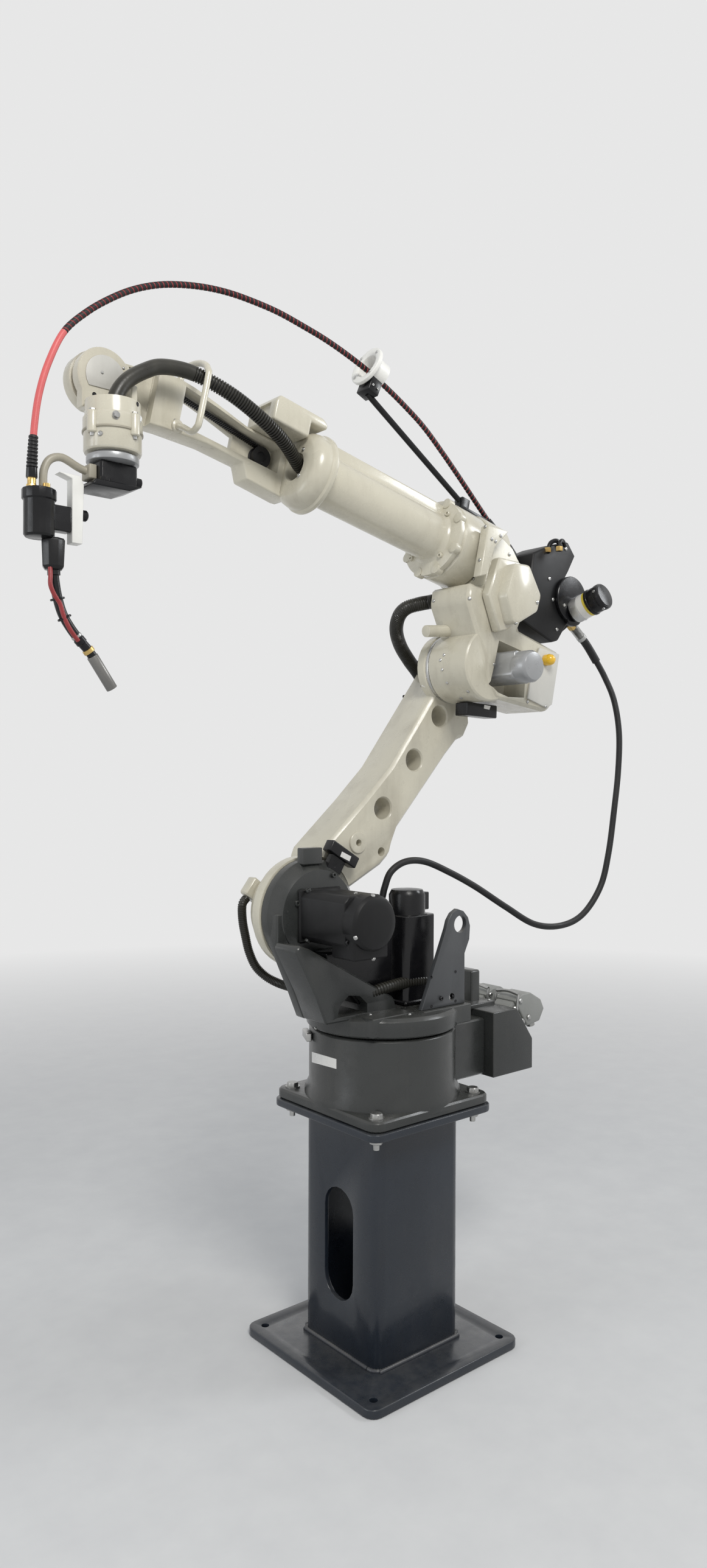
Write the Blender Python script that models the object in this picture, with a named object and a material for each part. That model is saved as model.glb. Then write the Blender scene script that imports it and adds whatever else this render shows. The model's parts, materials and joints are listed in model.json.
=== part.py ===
# Industrial six-axis welding robot arm on a bolted pedestal, in metres, +X forward, +Z up.
import math

import bmesh
import bpy
from mathutils import Matrix, Vector

# General gaps
touch_gap = 0.0003
moving_gap = 0.0055
edge_round = 0.004
fine_round = 0.002
round_steps = 2

# Pedestal
pedestal_height = 0.566
pedestal_side = 0.262
pedestal_wall = 0.012
pedestal_corner = 0.028
flange_side = 0.371
flange_thickness = 0.018
foot_plate_side = 0.46
foot_plate_thickness = 0.020
anchor_spacing = 0.390
anchor_hole_radius = 0.009
slot_width = 0.10
slot_top_share = 0.69
slot_bottom_share = 0.24

# Base and swivel
base_foot_side = 0.362
base_foot_thickness = 0.024
base_radius = 0.172
base_top = 0.179
cable_box_reach = 0.257
cable_box_width = 0.236
cable_box_height = 0.158
cable_box_top_length = 0.086
cable_box_foot_length = 0.145
cable_box_step_height = 0.075
swivel_radius = 0.178
swivel_thickness = 0.044
spigot_radius = 0.12

# Axes at rest
shoulder_forward = 0.186
shoulder_height = 0.450
lower_arm_length = 0.737
lower_arm_lean = -37.76
elbow_offset = 0.280
forearm_length = 1.048
forearm_pitch = 12.32

# Shoulder
drum_radius = 0.124
drum_face_radius = 0.100
drum_far = -0.058
drum_near = -0.007
web_far = -0.039
rib_near = 0.070
shoulder_motor_side = 0.120
shoulder_motor_length = 0.157
shoulder_cap_radius = 0.060
shoulder_cap_length = 0.042
swivel_motor_side = 0.109
swivel_motor_length = 0.207
swivel_cap_radius = 0.0433
swivel_cap_length = 0.060
swivel_motor_spot = (-0.060, 0.019)
lifting_plate_thickness = 0.012
switch_turn = -31.0
lifting_hole_radius = 0.020

# Lower arm
arm_far = -0.165
arm_near = -0.045
hub_far = -0.135
hub_ring_far = -0.087
arm_hub_radius = 0.127
elbow_hub_radius = 0.088
elbow_hub_depth = 0.030
arm_hole_radius = 0.026
reducer_radius = 0.086

# Elbow
elbow_far = -0.035
elbow_near = 0.100
elbow_drum_radius = 0.088
roll_drum_radius = 0.099
elbow_motor_side = 0.068
elbow_motor_reach = 0.152
elbow_cap_radius = 0.039
elbow_cap_length = 0.042
elbow_motor_share = (-0.182, 0.020)
pocket_depth_share = 0.25
side_cover_height = 0.060
stub_droop = 18.1
feeder_far = -0.034
feeder_near = 0.070
feed_disc_radius = 0.060
feed_motor_radius = 0.030
feed_motor_cap_radius = 0.034
feed_motor_length = 0.112
feed_motor_tilt = 20.0
guide_ring_radius = 0.040
guide_ring_bar = 0.008
guide_rod_radius = 0.007
guide_clamp_length = 0.034
guide_clamp_width = 0.048
guide_clamp_height = 0.034
guide_ring_turn = 10.4

# Forearm
tube_start = 0.0715
root_radius = 0.096
flange_ring_radius = 0.090
tube_radius = 0.073
tube_end = 0.503
ring_radius = 0.100
ring_end = 0.566
beam_far = -0.094
beam_near = -0.062
beam_end_radius = 0.060
conduit_hole_radius = 0.033
mouth_depth = 0.045
mouth_spot = (0.024, -0.046)
loop_bar_radius = 0.006
loop_reach = 0.118

# Wrist and torch
wrist_radius = 0.053
wrist_flange_radius = 0.0565
wrist_top = -0.058
wrist_bottom = -0.158
throat_floor_share = 1.45
tool_flange_radius = 0.050
torch_forward = 0.147
torch_top = -0.250
torch_top_length = 0.088
torch_low_length = 0.056
torch_radius = 0.028
nozzle_radius = 0.011
tip_drop = -0.605

# Cables
torch_cable_radius = 0.0105
conduit_radius = 0.0175
elbow_hose_radius = 0.0165
shoulder_hose_radius = 0.010
supply_hose_radius = 0.0115
cable_sides = 8

# Outlines as shares of a main length: lower arm along its length, forward of its axis
arm_outline_share = [
    (0.100, 0.036), (0.163, 0.066), (0.187, 0.072), (0.277, 0.055), (0.414, 0.028), (0.570, 0.004),
    (0.780, 0.002), (0.890, 0.004), (1.000, 0.004), (1.045, -0.010), (1.055, -0.045), (0.985, -0.130),
    (0.920, -0.195), (0.860, -0.202), (0.845, -0.182), (0.760, -0.170), (0.585, -0.155),
    (0.430, -0.142), (0.375, -0.155), (0.340, -0.168), (0.290, -0.158), (0.200, -0.115),
    (0.100, -0.066),
]
arm_hole_share = [(0.843, -0.063), (0.650, -0.062), (0.438, -0.050)]
arm_boss_share = (0.286, -0.030)
arm_lug_share = (0.322, -0.130)

# Swivel web and rib, shares of the shoulder height: forward, up from the pedestal top
web_outline_share = [
    (0.50, 0.49), (0.56, 0.63), (0.668, 0.86), (0.668, 1.02), (0.18, 1.02), (0.10, 0.86),
    (0.055, 0.62), (0.050, 0.49),
]
rib_outline_share = [
    (0.50, 0.49), (0.56, 0.63), (0.685, 0.86), (0.665, 0.89), (0.600, 0.865), (0.060, 0.568),
    (0.040, 0.52), (0.040, 0.49),
]
arch_outline_share = [(0.24, 0.515), (0.24, 0.56), (0.29, 0.605), (0.36, 0.615), (0.42, 0.57), (0.43, 0.515)]
lifting_outline_share = [
    (0.0, 0.502), (-0.175, 0.90), (-0.188, 0.94), (-0.215, 0.975), (-0.255, 0.995),
    (-0.300, 0.980), (-0.335, 0.945), (-0.350, 0.900), (-0.345, 0.830), (-0.310, 0.760), (-0.310, 0.502),
]
lifting_hole_share = (-0.275, 0.925)
key_hole_share = (-0.215, 0.555)

# Elbow outlines, shares of the elbow offset: along the forearm, above the elbow axis
elbow_outline_share = [
    (0.230, 1.13), (0.230, 0.632), (0.42, 0.612), (0.41, 0.45), (0.095, 0.045), (0.010, -0.16),
    (-0.11, -0.27), (-0.79, -0.215), (-0.865, -0.15), (-0.87, 0.375), (-0.27, 0.405), (-0.33, 0.60),
    (-0.30, 0.80), (-0.20, 0.98), (-0.05, 1.10), (0.10, 1.145),
]
pocket_outline_share = [
    (-0.040, 0.235), (-0.029, 0.014), (-0.011, -0.168), (-0.130, -0.212), (-0.264, -0.215), (-0.471, -0.165),
    (-0.440, 0.082), (-0.360, 0.235),
]
side_cover_share = [(0.21, 0.90), (-0.06, 0.95), (-0.28, 0.72), (-0.26, 0.52), (-0.02, 0.31), (0.07, 0.27), (0.27, 0.55)]
side_dome_share = [(0.13, 0.86), (-0.06, 0.91), (-0.27, 0.70), (-0.25, 0.54), (-0.03, 0.36), (0.03, 0.35), (0.17, 0.56)]
junction_box_share = [(0.40, 1.12), (0.14, 1.16), (0.28, 0.96), (0.32, 0.70), (0.40, 0.66)]
rear_plate_share = [(-0.50, -0.165), (-0.50, 0.10), (-0.56, 0.33), (-0.84, 0.35), (-0.84, -0.13), (-0.775, -0.180)]
elbow_switch_share = [(0.02, -0.325), (-0.36, -0.258), (-0.38, -0.372), (0.0, -0.440)]
feeder_share = [
    (-0.42, 0.55), (-0.86, 0.485), (-0.95, 0.53), (-1.06, 0.76), (-0.88, 1.05), (-0.955, 1.218), (-1.018, 1.393),
    (-0.885, 1.489), (-0.657, 1.375), (-0.43, 1.215), (-0.44, 0.90),
]
feed_disc_share = (-1.01, 0.955)
feed_motor_share = (-1.065, 0.830)
stub_share = (0.25, 0.27)
rod_foot_share = (0.335, 1.385)

# Forearm outlines, shares of the forearm length: along, above the forearm axis
beam_outline_share = [
    (0.520, 0.082), (0.660, 0.082), (0.865, 0.060), (0.955, 0.052), (1.0, 0.057), (1.040, 0.040),
    (1.057, 0.0), (1.040, -0.040), (1.0, -0.057), (0.904, -0.050), (0.677, -0.052), (0.595, -0.066),
    (0.520, -0.080),
]
beam_window_share = [(0.590, 0.050), (0.80, 0.035), (0.80, -0.026), (0.680, -0.030), (0.590, -0.038)]
beam_panel_share = [(0.710, 0.028), (0.798, 0.024), (0.798, -0.022), (0.710, -0.026)]
motor_cover_share = [(0.545, 0.062), (0.545, 0.106), (0.662, 0.106), (0.672, 0.095), (0.672, 0.064)]
loop_foot_share = (0.845, -0.022)
loop_head_share = (0.845, 0.092)

# Cable routes in the plane of the arm, metres forward and up at the rest pose
torch_cable_route = [
    (0.860, 1.846), (0.859, 1.900), (0.855, 1.962), (0.846, 2.022), (0.828, 2.083), (0.798, 2.147), (0.753, 2.196),
    (0.704, 2.236), (0.655, 2.268), (0.602, 2.293), (0.548, 2.310), (0.490, 2.322), (0.432, 2.328), (0.370, 2.328),
    (0.308, 2.324), (0.245, 2.314), (0.178, 2.301), (0.112, 2.283), (0.050, 2.262), (-0.010, 2.236),
    (-0.070, 2.206), (-0.130, 2.171), (-0.195, 2.121), (-0.260, 2.067), (-0.318, 2.017), (-0.376, 1.968),
    (-0.428, 1.926),
]
guide_centre_spot = (0.050, 2.262)
conduit_route_share = [
    (0.497, -0.047), (0.523, -0.047), (0.545, -0.039), (0.572, -0.020), (0.618, 0.007), (0.672, 0.030), (0.725, 0.047),
    (0.774, 0.059), (0.820, 0.062), (0.863, 0.058), (0.902, 0.048),
]
conduit_side = 0.022
conduit_wrist_route = [(-0.076, 0.024), (-0.044, 0.006), (-0.018, -0.018), (-0.002, -0.045), (0.003, -0.070)]

# Hose routes at the rest pose: the elbow hose along, aside and above its axis, the others in the world
elbow_hose_route = [
    (0.094, -0.0371, 0.150), (0.094, -0.061, 0.1500), (0.118, -0.070, 0.138), (0.137, -0.092, 0.124), (0.135, -0.117, 0.106),
    (0.108, -0.150, 0.082), (0.062, -0.178, 0.058), (0.010, -0.193, 0.034), (-0.044, -0.199, 0.006),
    (-0.080, -0.194, -0.040), (-0.115, -0.187, -0.100), (-0.155, -0.1819, -0.170),
]
shoulder_hose_route = [
    (0.2833, -0.150, 1.0472), (0.2951, -0.150, 1.0320), (0.290, -0.156, 0.995), (0.280, -0.158, 0.955), (0.272, -0.156, 0.922),
    (0.258, -0.150, 0.888), (0.238, -0.138, 0.864), (0.222, -0.116, 0.851),
    (0.214, -0.085, 0.846), (0.2125, -0.0393, 0.845),
]
supply_hose_route = [
    (-0.655, 0.030, 1.747), (-0.687, 0.030, 1.724), (-0.723, 0.032, 1.696), (-0.754, 0.040, 1.655), (-0.778, 0.055, 1.606),
    (-0.790, 0.078, 1.540), (-0.790, 0.095, 1.450), (-0.780, 0.100, 1.345), (-0.762, 0.100, 1.235),
    (-0.738, 0.100, 1.120), (-0.705, 0.098, 1.030), (-0.640, 0.090, 0.960), (-0.560, 0.080, 0.935),
    (-0.470, 0.065, 0.945), (-0.380, 0.045, 0.995), (-0.290, 0.025, 1.050), (-0.210, 0.012, 1.090),
    (-0.137, 0.000, 1.119), (-0.080, -0.008, 1.121), (-0.042, -0.018, 1.098), (-0.027, -0.024, 1.060),
    (-0.020, -0.026, 1.034), (-0.002, -0.026, 1.018), (0.022, -0.025, 1.010), (0.048, -0.025, 1.006),
]


# Frames: the lower arm and the forearm each have their own axes at rest
pedestal_top = pedestal_height
base_joint = pedestal_top + base_top
swivel_floor = base_joint + moving_gap
swivel_top = swivel_floor + swivel_thickness
shoulder_point = Vector((shoulder_forward, 0.0, pedestal_top + shoulder_height))
lean = math.radians(lower_arm_lean)
arm_up = Vector((math.sin(lean), 0.0, math.cos(lean)))
arm_out = Vector((math.cos(lean), 0.0, -math.sin(lean)))
elbow_point = shoulder_point + arm_up * lower_arm_length
pitch = math.radians(forearm_pitch)
fore_out = Vector((math.cos(pitch), 0.0, math.sin(pitch)))
fore_up = Vector((-math.sin(pitch), 0.0, math.cos(pitch)))
wrist_point = elbow_point + fore_up * elbow_offset + fore_out * forearm_length
roll_point = elbow_point + fore_up * elbow_offset
side_way = Vector((0.0, 1.0, 0.0))
world_origin = Vector((0.0, 0.0, 0.0))


def frame(origin, out, up):
    # A matrix whose local x runs along out, y to the side and z along up
    turned = Matrix.Identity(4)
    for row in range(3):
        turned[row][0] = out[row]
        turned[row][1] = side_way[row]
        turned[row][2] = up[row]
        turned[row][3] = origin[row]
    return turned


world = Matrix.Identity(4)
arm_frame = frame(shoulder_point, arm_out, arm_up)
elbow_frame = frame(elbow_point, fore_out, fore_up)
roll_frame = frame(roll_point, fore_out, fore_up)
wrist_frame = Matrix.Translation(wrist_point)
shoulder_frame = Matrix.Translation(shoulder_point)
swivel_frame = Matrix.Translation(Vector((0.0, 0.0, pedestal_top)))


def clear_scene():
    for existing in list(bpy.data.objects):
        bpy.data.objects.remove(existing, do_unlink=True)


def material(name, colour, roughness, metallic=0.0):
    made = bpy.data.materials.new(name)
    made.use_nodes = True
    shader = made.node_tree.nodes["Principled BSDF"]
    shader.inputs["Base Color"].default_value = (*colour, 1.0)
    shader.inputs["Roughness"].default_value = roughness
    shader.inputs["Metallic"].default_value = metallic
    return made


def solid(build, placed):
    # Turns a bmesh into an object whose mesh is in world coordinates
    bmesh.ops.remove_doubles(build, verts=build.verts, dist=1e-6)
    bmesh.ops.transform(build, matrix=placed, verts=build.verts)
    bmesh.ops.recalc_face_normals(build, faces=build.faces)
    mesh = bpy.data.meshes.new("shape")
    build.to_mesh(mesh)
    build.free()
    made = bpy.data.objects.new("shape", mesh)
    bpy.context.scene.collection.objects.link(made)
    return made


def soften(build, width, steps, angle=0.5):
    # Rounds the sharp edges of a simple convex shape
    sharp = [edge for edge in build.edges if len(edge.link_faces) == 2 and edge.calc_face_angle(0.0) > angle]
    bmesh.ops.bevel(build, geom=sharp, offset=width, segments=steps, profile=0.5, affect="EDGES", clamp_overlap=True)


def prism(outline, start, end, placed, width=0.0, steps=1, angle=0.5):
    # Extrudes an outline of the frame's x-z plane from start to end along its y
    build = bmesh.new()
    ring = [build.verts.new((x, start, z)) for x, z in outline]
    face = build.faces.new(ring)
    grown = bmesh.ops.extrude_face_region(build, geom=[face])
    moved = [item for item in grown["geom"] if isinstance(item, bmesh.types.BMVert)]
    bmesh.ops.translate(build, vec=(0.0, end - start, 0.0), verts=moved)
    bmesh.ops.recalc_face_normals(build, faces=build.faces)
    if width:
        soften(build, width, steps, angle)
    return solid(build, placed)


def box(low, high, placed, width=0.0, steps=1):
    outline = [(low[0], low[2]), (high[0], low[2]), (high[0], high[2]), (low[0], high[2])]
    return prism(outline, low[1], high[1], placed, width, steps)


def rounded_plate(side, corner, low, high, placed, width=0.0):
    # A square plate that lies flat, with rounded corners
    outline = []
    half = side / 2.0
    for turn in range(4):
        for step in range(round_steps * 2 + 1):
            angle = math.radians(90.0 * turn + 90.0 * step / (round_steps * 2))
            middle = (half - corner) * math.sqrt(2.0)
            spot = math.radians(90.0 * turn + 45.0)
            outline.append((middle * math.cos(spot) + corner * math.cos(angle),
                            middle * math.sin(spot) + corner * math.sin(angle)))
    build = bmesh.new()
    ring = [build.verts.new((x, y, low)) for x, y in outline]
    face = build.faces.new(ring)
    grown = bmesh.ops.extrude_face_region(build, geom=[face])
    moved = [item for item in grown["geom"] if isinstance(item, bmesh.types.BMVert)]
    bmesh.ops.translate(build, vec=(0.0, 0.0, high - low), verts=moved)
    bmesh.ops.recalc_face_normals(build, faces=build.faces)
    if width:
        soften(build, width, 1, 1.2)
    return solid(build, placed)


def lathe(profile, axis, placed, sides=40, centre=(0.0, 0.0, 0.0)):
    # Turns a profile of (radius, height) round an axis of the frame, closed at both ends
    build = bmesh.new()
    rings = []
    middle = Vector(centre)
    first, second, along = {"X": ((0, 1, 0), (0, 0, 1), (1, 0, 0)),
                            "Y": ((0, 0, 1), (1, 0, 0), (0, 1, 0)),
                            "Z": ((1, 0, 0), (0, 1, 0), (0, 0, 1))}[axis]
    first, second, along = Vector(first), Vector(second), Vector(along)
    for radius, height in profile:
        spot = middle + along * height
        if radius == 0.0:
            rings.append([build.verts.new(spot)])
            continue
        rings.append([
            build.verts.new(spot + first * (radius * math.cos(math.tau * n / sides))
                            + second * (radius * math.sin(math.tau * n / sides)))
            for n in range(sides)
        ])
    for low, high in zip(rings, rings[1:]):
        for n in range(sides):
            after = (n + 1) % sides
            if len(low) == 1:
                build.faces.new((low[0], high[n], high[after]))
            elif len(high) == 1:
                build.faces.new((low[n], low[after], high[0]))
            else:
                build.faces.new((low[n], low[after], high[after], high[n]))
    for ring in (rings[0], rings[-1]):
        if len(ring) > 1:
            build.faces.new(ring)
    return solid(build, placed)


def drum(radius, low, high, axis, placed, centre=(0.0, 0.0, 0.0), edge=0.0, sides=40):
    if edge:
        profile = [(radius - edge, low), (radius, low + edge), (radius, high - edge), (radius - edge, high)]
    else:
        profile = [(radius, low), (radius, high)]
    return lathe(profile, axis, placed, sides, centre)


def smooth_route(points, pieces):
    # A Catmull-Rom curve through the points
    points = [Vector(point) for point in points]
    ends = [points[0] * 2 - points[1]] + points + [points[-1] * 2 - points[-2]]
    route = []
    for n in range(1, len(ends) - 2):
        before, start, end, after = ends[n - 1], ends[n], ends[n + 1], ends[n + 2]
        for step in range(pieces):
            t = step / pieces
            route.append(0.5 * ((2 * start) + (end - before) * t + (2 * before - 5 * start + 4 * end - after) * t * t
                                + (3 * start - before - 3 * end + after) * t ** 3))
    route.append(points[-1])
    return route


def tube(points, radius, placed, sides=10, flat=1.0):
    # A bar that follows the points, with closed ends; flat squeezes it across its second way
    build = bmesh.new()
    points = [Vector(point) for point in points]
    rings = []
    across = None
    for n, spot in enumerate(points):
        ahead = points[min(n + 1, len(points) - 1)] - points[max(n - 1, 0)]
        ahead.normalize()
        if across is None:
            across = ahead.orthogonal().normalized()
            if abs(ahead.y) < 0.9:
                across = (side_way - ahead * ahead.y).normalized()
        else:
            across = (across - ahead * across.dot(ahead)).normalized()
        other = ahead.cross(across)
        rings.append([
            build.verts.new(spot + across * (radius * math.cos(math.tau * k / sides))
                            + other * (radius * flat * math.sin(math.tau * k / sides)))
            for k in range(sides)
        ])
    for low, high in zip(rings, rings[1:]):
        for k in range(sides):
            after = (k + 1) % sides
            build.faces.new((low[k], low[after], high[after], high[k]))
    build.faces.new(rings[0])
    build.faces.new(rings[-1])
    return solid(build, placed)


def ring_bar(radius, bar, placed, axis, centre, sides=28, round_sides=8):
    # A round bar bent into a full ring
    build = bmesh.new()
    across = axis.orthogonal().normalized()
    other = axis.cross(across).normalized()
    rings = []
    for n in range(sides):
        angle = math.tau * n / sides
        out = across * math.cos(angle) + other * math.sin(angle)
        rings.append([
            build.verts.new(centre + out * (radius + bar * math.cos(math.tau * k / round_sides))
                            + axis * (bar * math.sin(math.tau * k / round_sides)))
            for k in range(round_sides)
        ])
    for n in range(sides):
        low, high = rings[n], rings[(n + 1) % sides]
        for k in range(round_sides):
            after = (k + 1) % round_sides
            build.faces.new((low[k], low[after], high[after], high[k]))
    return solid(build, placed)


def combine(base, other, how):
    change = base.modifiers.new("combine", "BOOLEAN")
    change.operation = how
    change.solver = "EXACT"
    change.object = other
    bpy.context.view_layer.update()
    settled = bpy.data.meshes.new_from_object(base.evaluated_get(bpy.context.evaluated_depsgraph_get()))
    base.modifiers.clear()
    base.data = settled
    bpy.data.objects.remove(other, do_unlink=True)
    return base


def joined(*shapes):
    base = shapes[0]
    for other in shapes[1:]:
        base = combine(base, other, "UNION")
    return base


def cut(base, *others):
    for other in others:
        base = combine(base, other, "DIFFERENCE")
    return base


def finish(made, name, look, pivot):
    # Names the node, gives it its material and puts its origin at the pivot
    made.name = name
    made.data.name = name
    build = bmesh.new()
    build.from_mesh(made.data)
    bmesh.ops.dissolve_limit(build, angle_limit=0.002, verts=build.verts, edges=build.edges)
    bmesh.ops.remove_doubles(build, verts=build.verts, dist=1e-5)
    bmesh.ops.triangulate(build, faces=[face for face in build.faces if len(face.verts) > 4])
    bmesh.ops.translate(build, vec=-pivot, verts=build.verts)
    bmesh.ops.recalc_face_normals(build, faces=build.faces)
    build.to_mesh(made.data)
    build.free()
    made.data.materials.clear()
    made.data.materials.append(look)
    made.location = pivot
    return made


def scaled(shares, length, lift=0.0):
    return [(x * length, z * length + lift) for x, z in shares]


def arm_outline(shares):
    # Lower arm tables hold (along, forward); the frame wants (forward, along)
    return [(forward * lower_arm_length, along * lower_arm_length) for along, forward in shares]


def build_pedestal(looks):
    top = pedestal_height - flange_thickness
    plate = rounded_plate(foot_plate_side, pedestal_corner, 0.0, foot_plate_thickness, world, fine_round)
    reach = anchor_spacing / 2.0
    for x, y in ((-reach, -reach), (reach, -reach), (reach, reach), (-reach, reach)):
        plate = cut(plate, drum(anchor_hole_radius, -foot_plate_thickness, 2.0 * foot_plate_thickness, "Z", world,
                                (x, y, 0.0), sides=24))
    finish(plate, "pedestal_foot_plate", looks["navy"], world_origin)
    column = rounded_plate(pedestal_side, pedestal_corner, foot_plate_thickness + touch_gap, top - touch_gap, world)
    inner = pedestal_side - 2.0 * pedestal_wall
    hollow = rounded_plate(inner, pedestal_corner - pedestal_wall / 2.0, 0.0, pedestal_height, world)
    column = cut(column, hollow)
    half = slot_width / 2.0
    high = pedestal_height * slot_top_share - half
    low = pedestal_height * slot_bottom_share + half
    outline = [(half * math.cos(math.radians(a)), high + half * math.sin(math.radians(a))) for a in range(0, 181, 20)]
    outline += [(half * math.cos(math.radians(a)), low + half * math.sin(math.radians(a))) for a in range(180, 361, 20)]
    turned = Matrix.Rotation(math.radians(90.0), 4, "Z")
    column = cut(column, prism(outline, -pedestal_side, pedestal_side, turned))
    finish(column, "pedestal_column", looks["navy"], world_origin)
    flange = rounded_plate(flange_side, pedestal_corner, top, pedestal_top, world, fine_round)
    finish(flange, "pedestal_flange", looks["navy"], world_origin)


def build_base(looks):
    foot_top = base_foot_thickness
    foot = rounded_plate(base_foot_side, pedestal_corner, touch_gap, foot_top, swivel_frame, edge_round)
    flare = base_radius * 0.06
    body = lathe([(base_radius + flare, foot_top / 2.0), (base_radius + flare, foot_top + flare),
                  (base_radius, foot_top + 3.0 * flare), (base_radius, base_top - edge_round),
                  (base_radius - edge_round, base_top)], "Z", swivel_frame, 56)
    neck_half = cable_box_width * 0.38
    neck = box((-cable_box_reach + touch_gap, -neck_half, foot_top + flare),
               (0.0, neck_half, base_top - 2.0 * edge_round), swivel_frame, edge_round)
    finish(joined(foot, body, neck), "base_casting", looks["gray"], world_origin)
    low = foot_top + flare / 2.0
    high = low + cable_box_height
    half = cable_box_width / 2.0
    outline = [(-cable_box_reach, low), (-cable_box_reach, high), (-cable_box_reach - cable_box_top_length, high),
               (-cable_box_reach - cable_box_foot_length, low + cable_box_step_height),
               (-cable_box_reach - cable_box_foot_length, low)]
    shell = prism(outline, -half, half, swivel_frame, fine_round)
    lid = box((-cable_box_reach - cable_box_top_length * 0.9, -half * 0.80, high - fine_round),
              (-cable_box_reach + edge_round * 3.0, half * 0.45, high + edge_round * 2.5), swivel_frame, fine_round)
    entry = box((-cable_box_reach - cable_box_top_length * 0.60, -half * 0.30, high),
                (-cable_box_reach - edge_round * 5.0, half * 0.22, high + cable_box_height * 0.55), swivel_frame, edge_round)
    finish(joined(shell, lid, entry), "base_cable_box", looks["gray"], world_origin)
    slope_top = Vector((-cable_box_reach - cable_box_top_length, 0.0, high))
    slope_foot = Vector((-cable_box_reach - cable_box_foot_length, 0.0, low + cable_box_step_height))
    up = (slope_top - slope_foot).normalized()
    out = Vector((-up.z, 0.0, up.x))
    slope = frame(slope_foot + Vector((0.0, 0.0, pedestal_top)), out, up)
    length = (slope_top - slope_foot).length
    plate = box((touch_gap, -half * 0.86, length * 0.08), (fine_round * 2.0, half * 0.86, length * 0.94), slope)
    hoods = []
    for place in (-0.42, 0.42):
        hoods.append(box((fine_round, half * (place - 0.26), length * 0.16),
                         (length * 0.55, half * (place + 0.26), length * 0.84), slope, fine_round))
        hoods.append(box((length * 0.50, half * (place - 0.32), length * 0.02),
                         (length * 1.50, half * (place + 0.32), length * 0.96), slope, edge_round))
    finish(joined(plate, *hoods), "connector_hoods", looks["silver"], world_origin)
    stop_angle = math.radians(-28.0)
    stop_frame = Matrix.Translation(Vector((0.0, 0.0, pedestal_top + base_top * 0.90))) @ \
        Matrix.Rotation(stop_angle, 4, "Z")
    stop = box((base_radius + touch_gap, -base_radius * 0.16, -edge_round * 2.5),
               (base_radius + edge_round * 3.5, base_radius * 0.16, edge_round * 2.5), stop_frame, fine_round)
    finish(stop, "axis_stop_bracket", looks["silver"], world_origin)


def barrel_profile(grown):
    # The shoulder drum's profile, grown outward by a gap for what seats on it
    return [(drum_radius - edge_round + grown, drum_far), (drum_radius + grown, drum_far + edge_round),
            (drum_radius * 0.99 + grown, drum_far + edge_round * 6.0),
            (drum_face_radius + edge_round + grown, drum_near - edge_round * 1.5), (drum_face_radius + grown, drum_near)]


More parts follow.
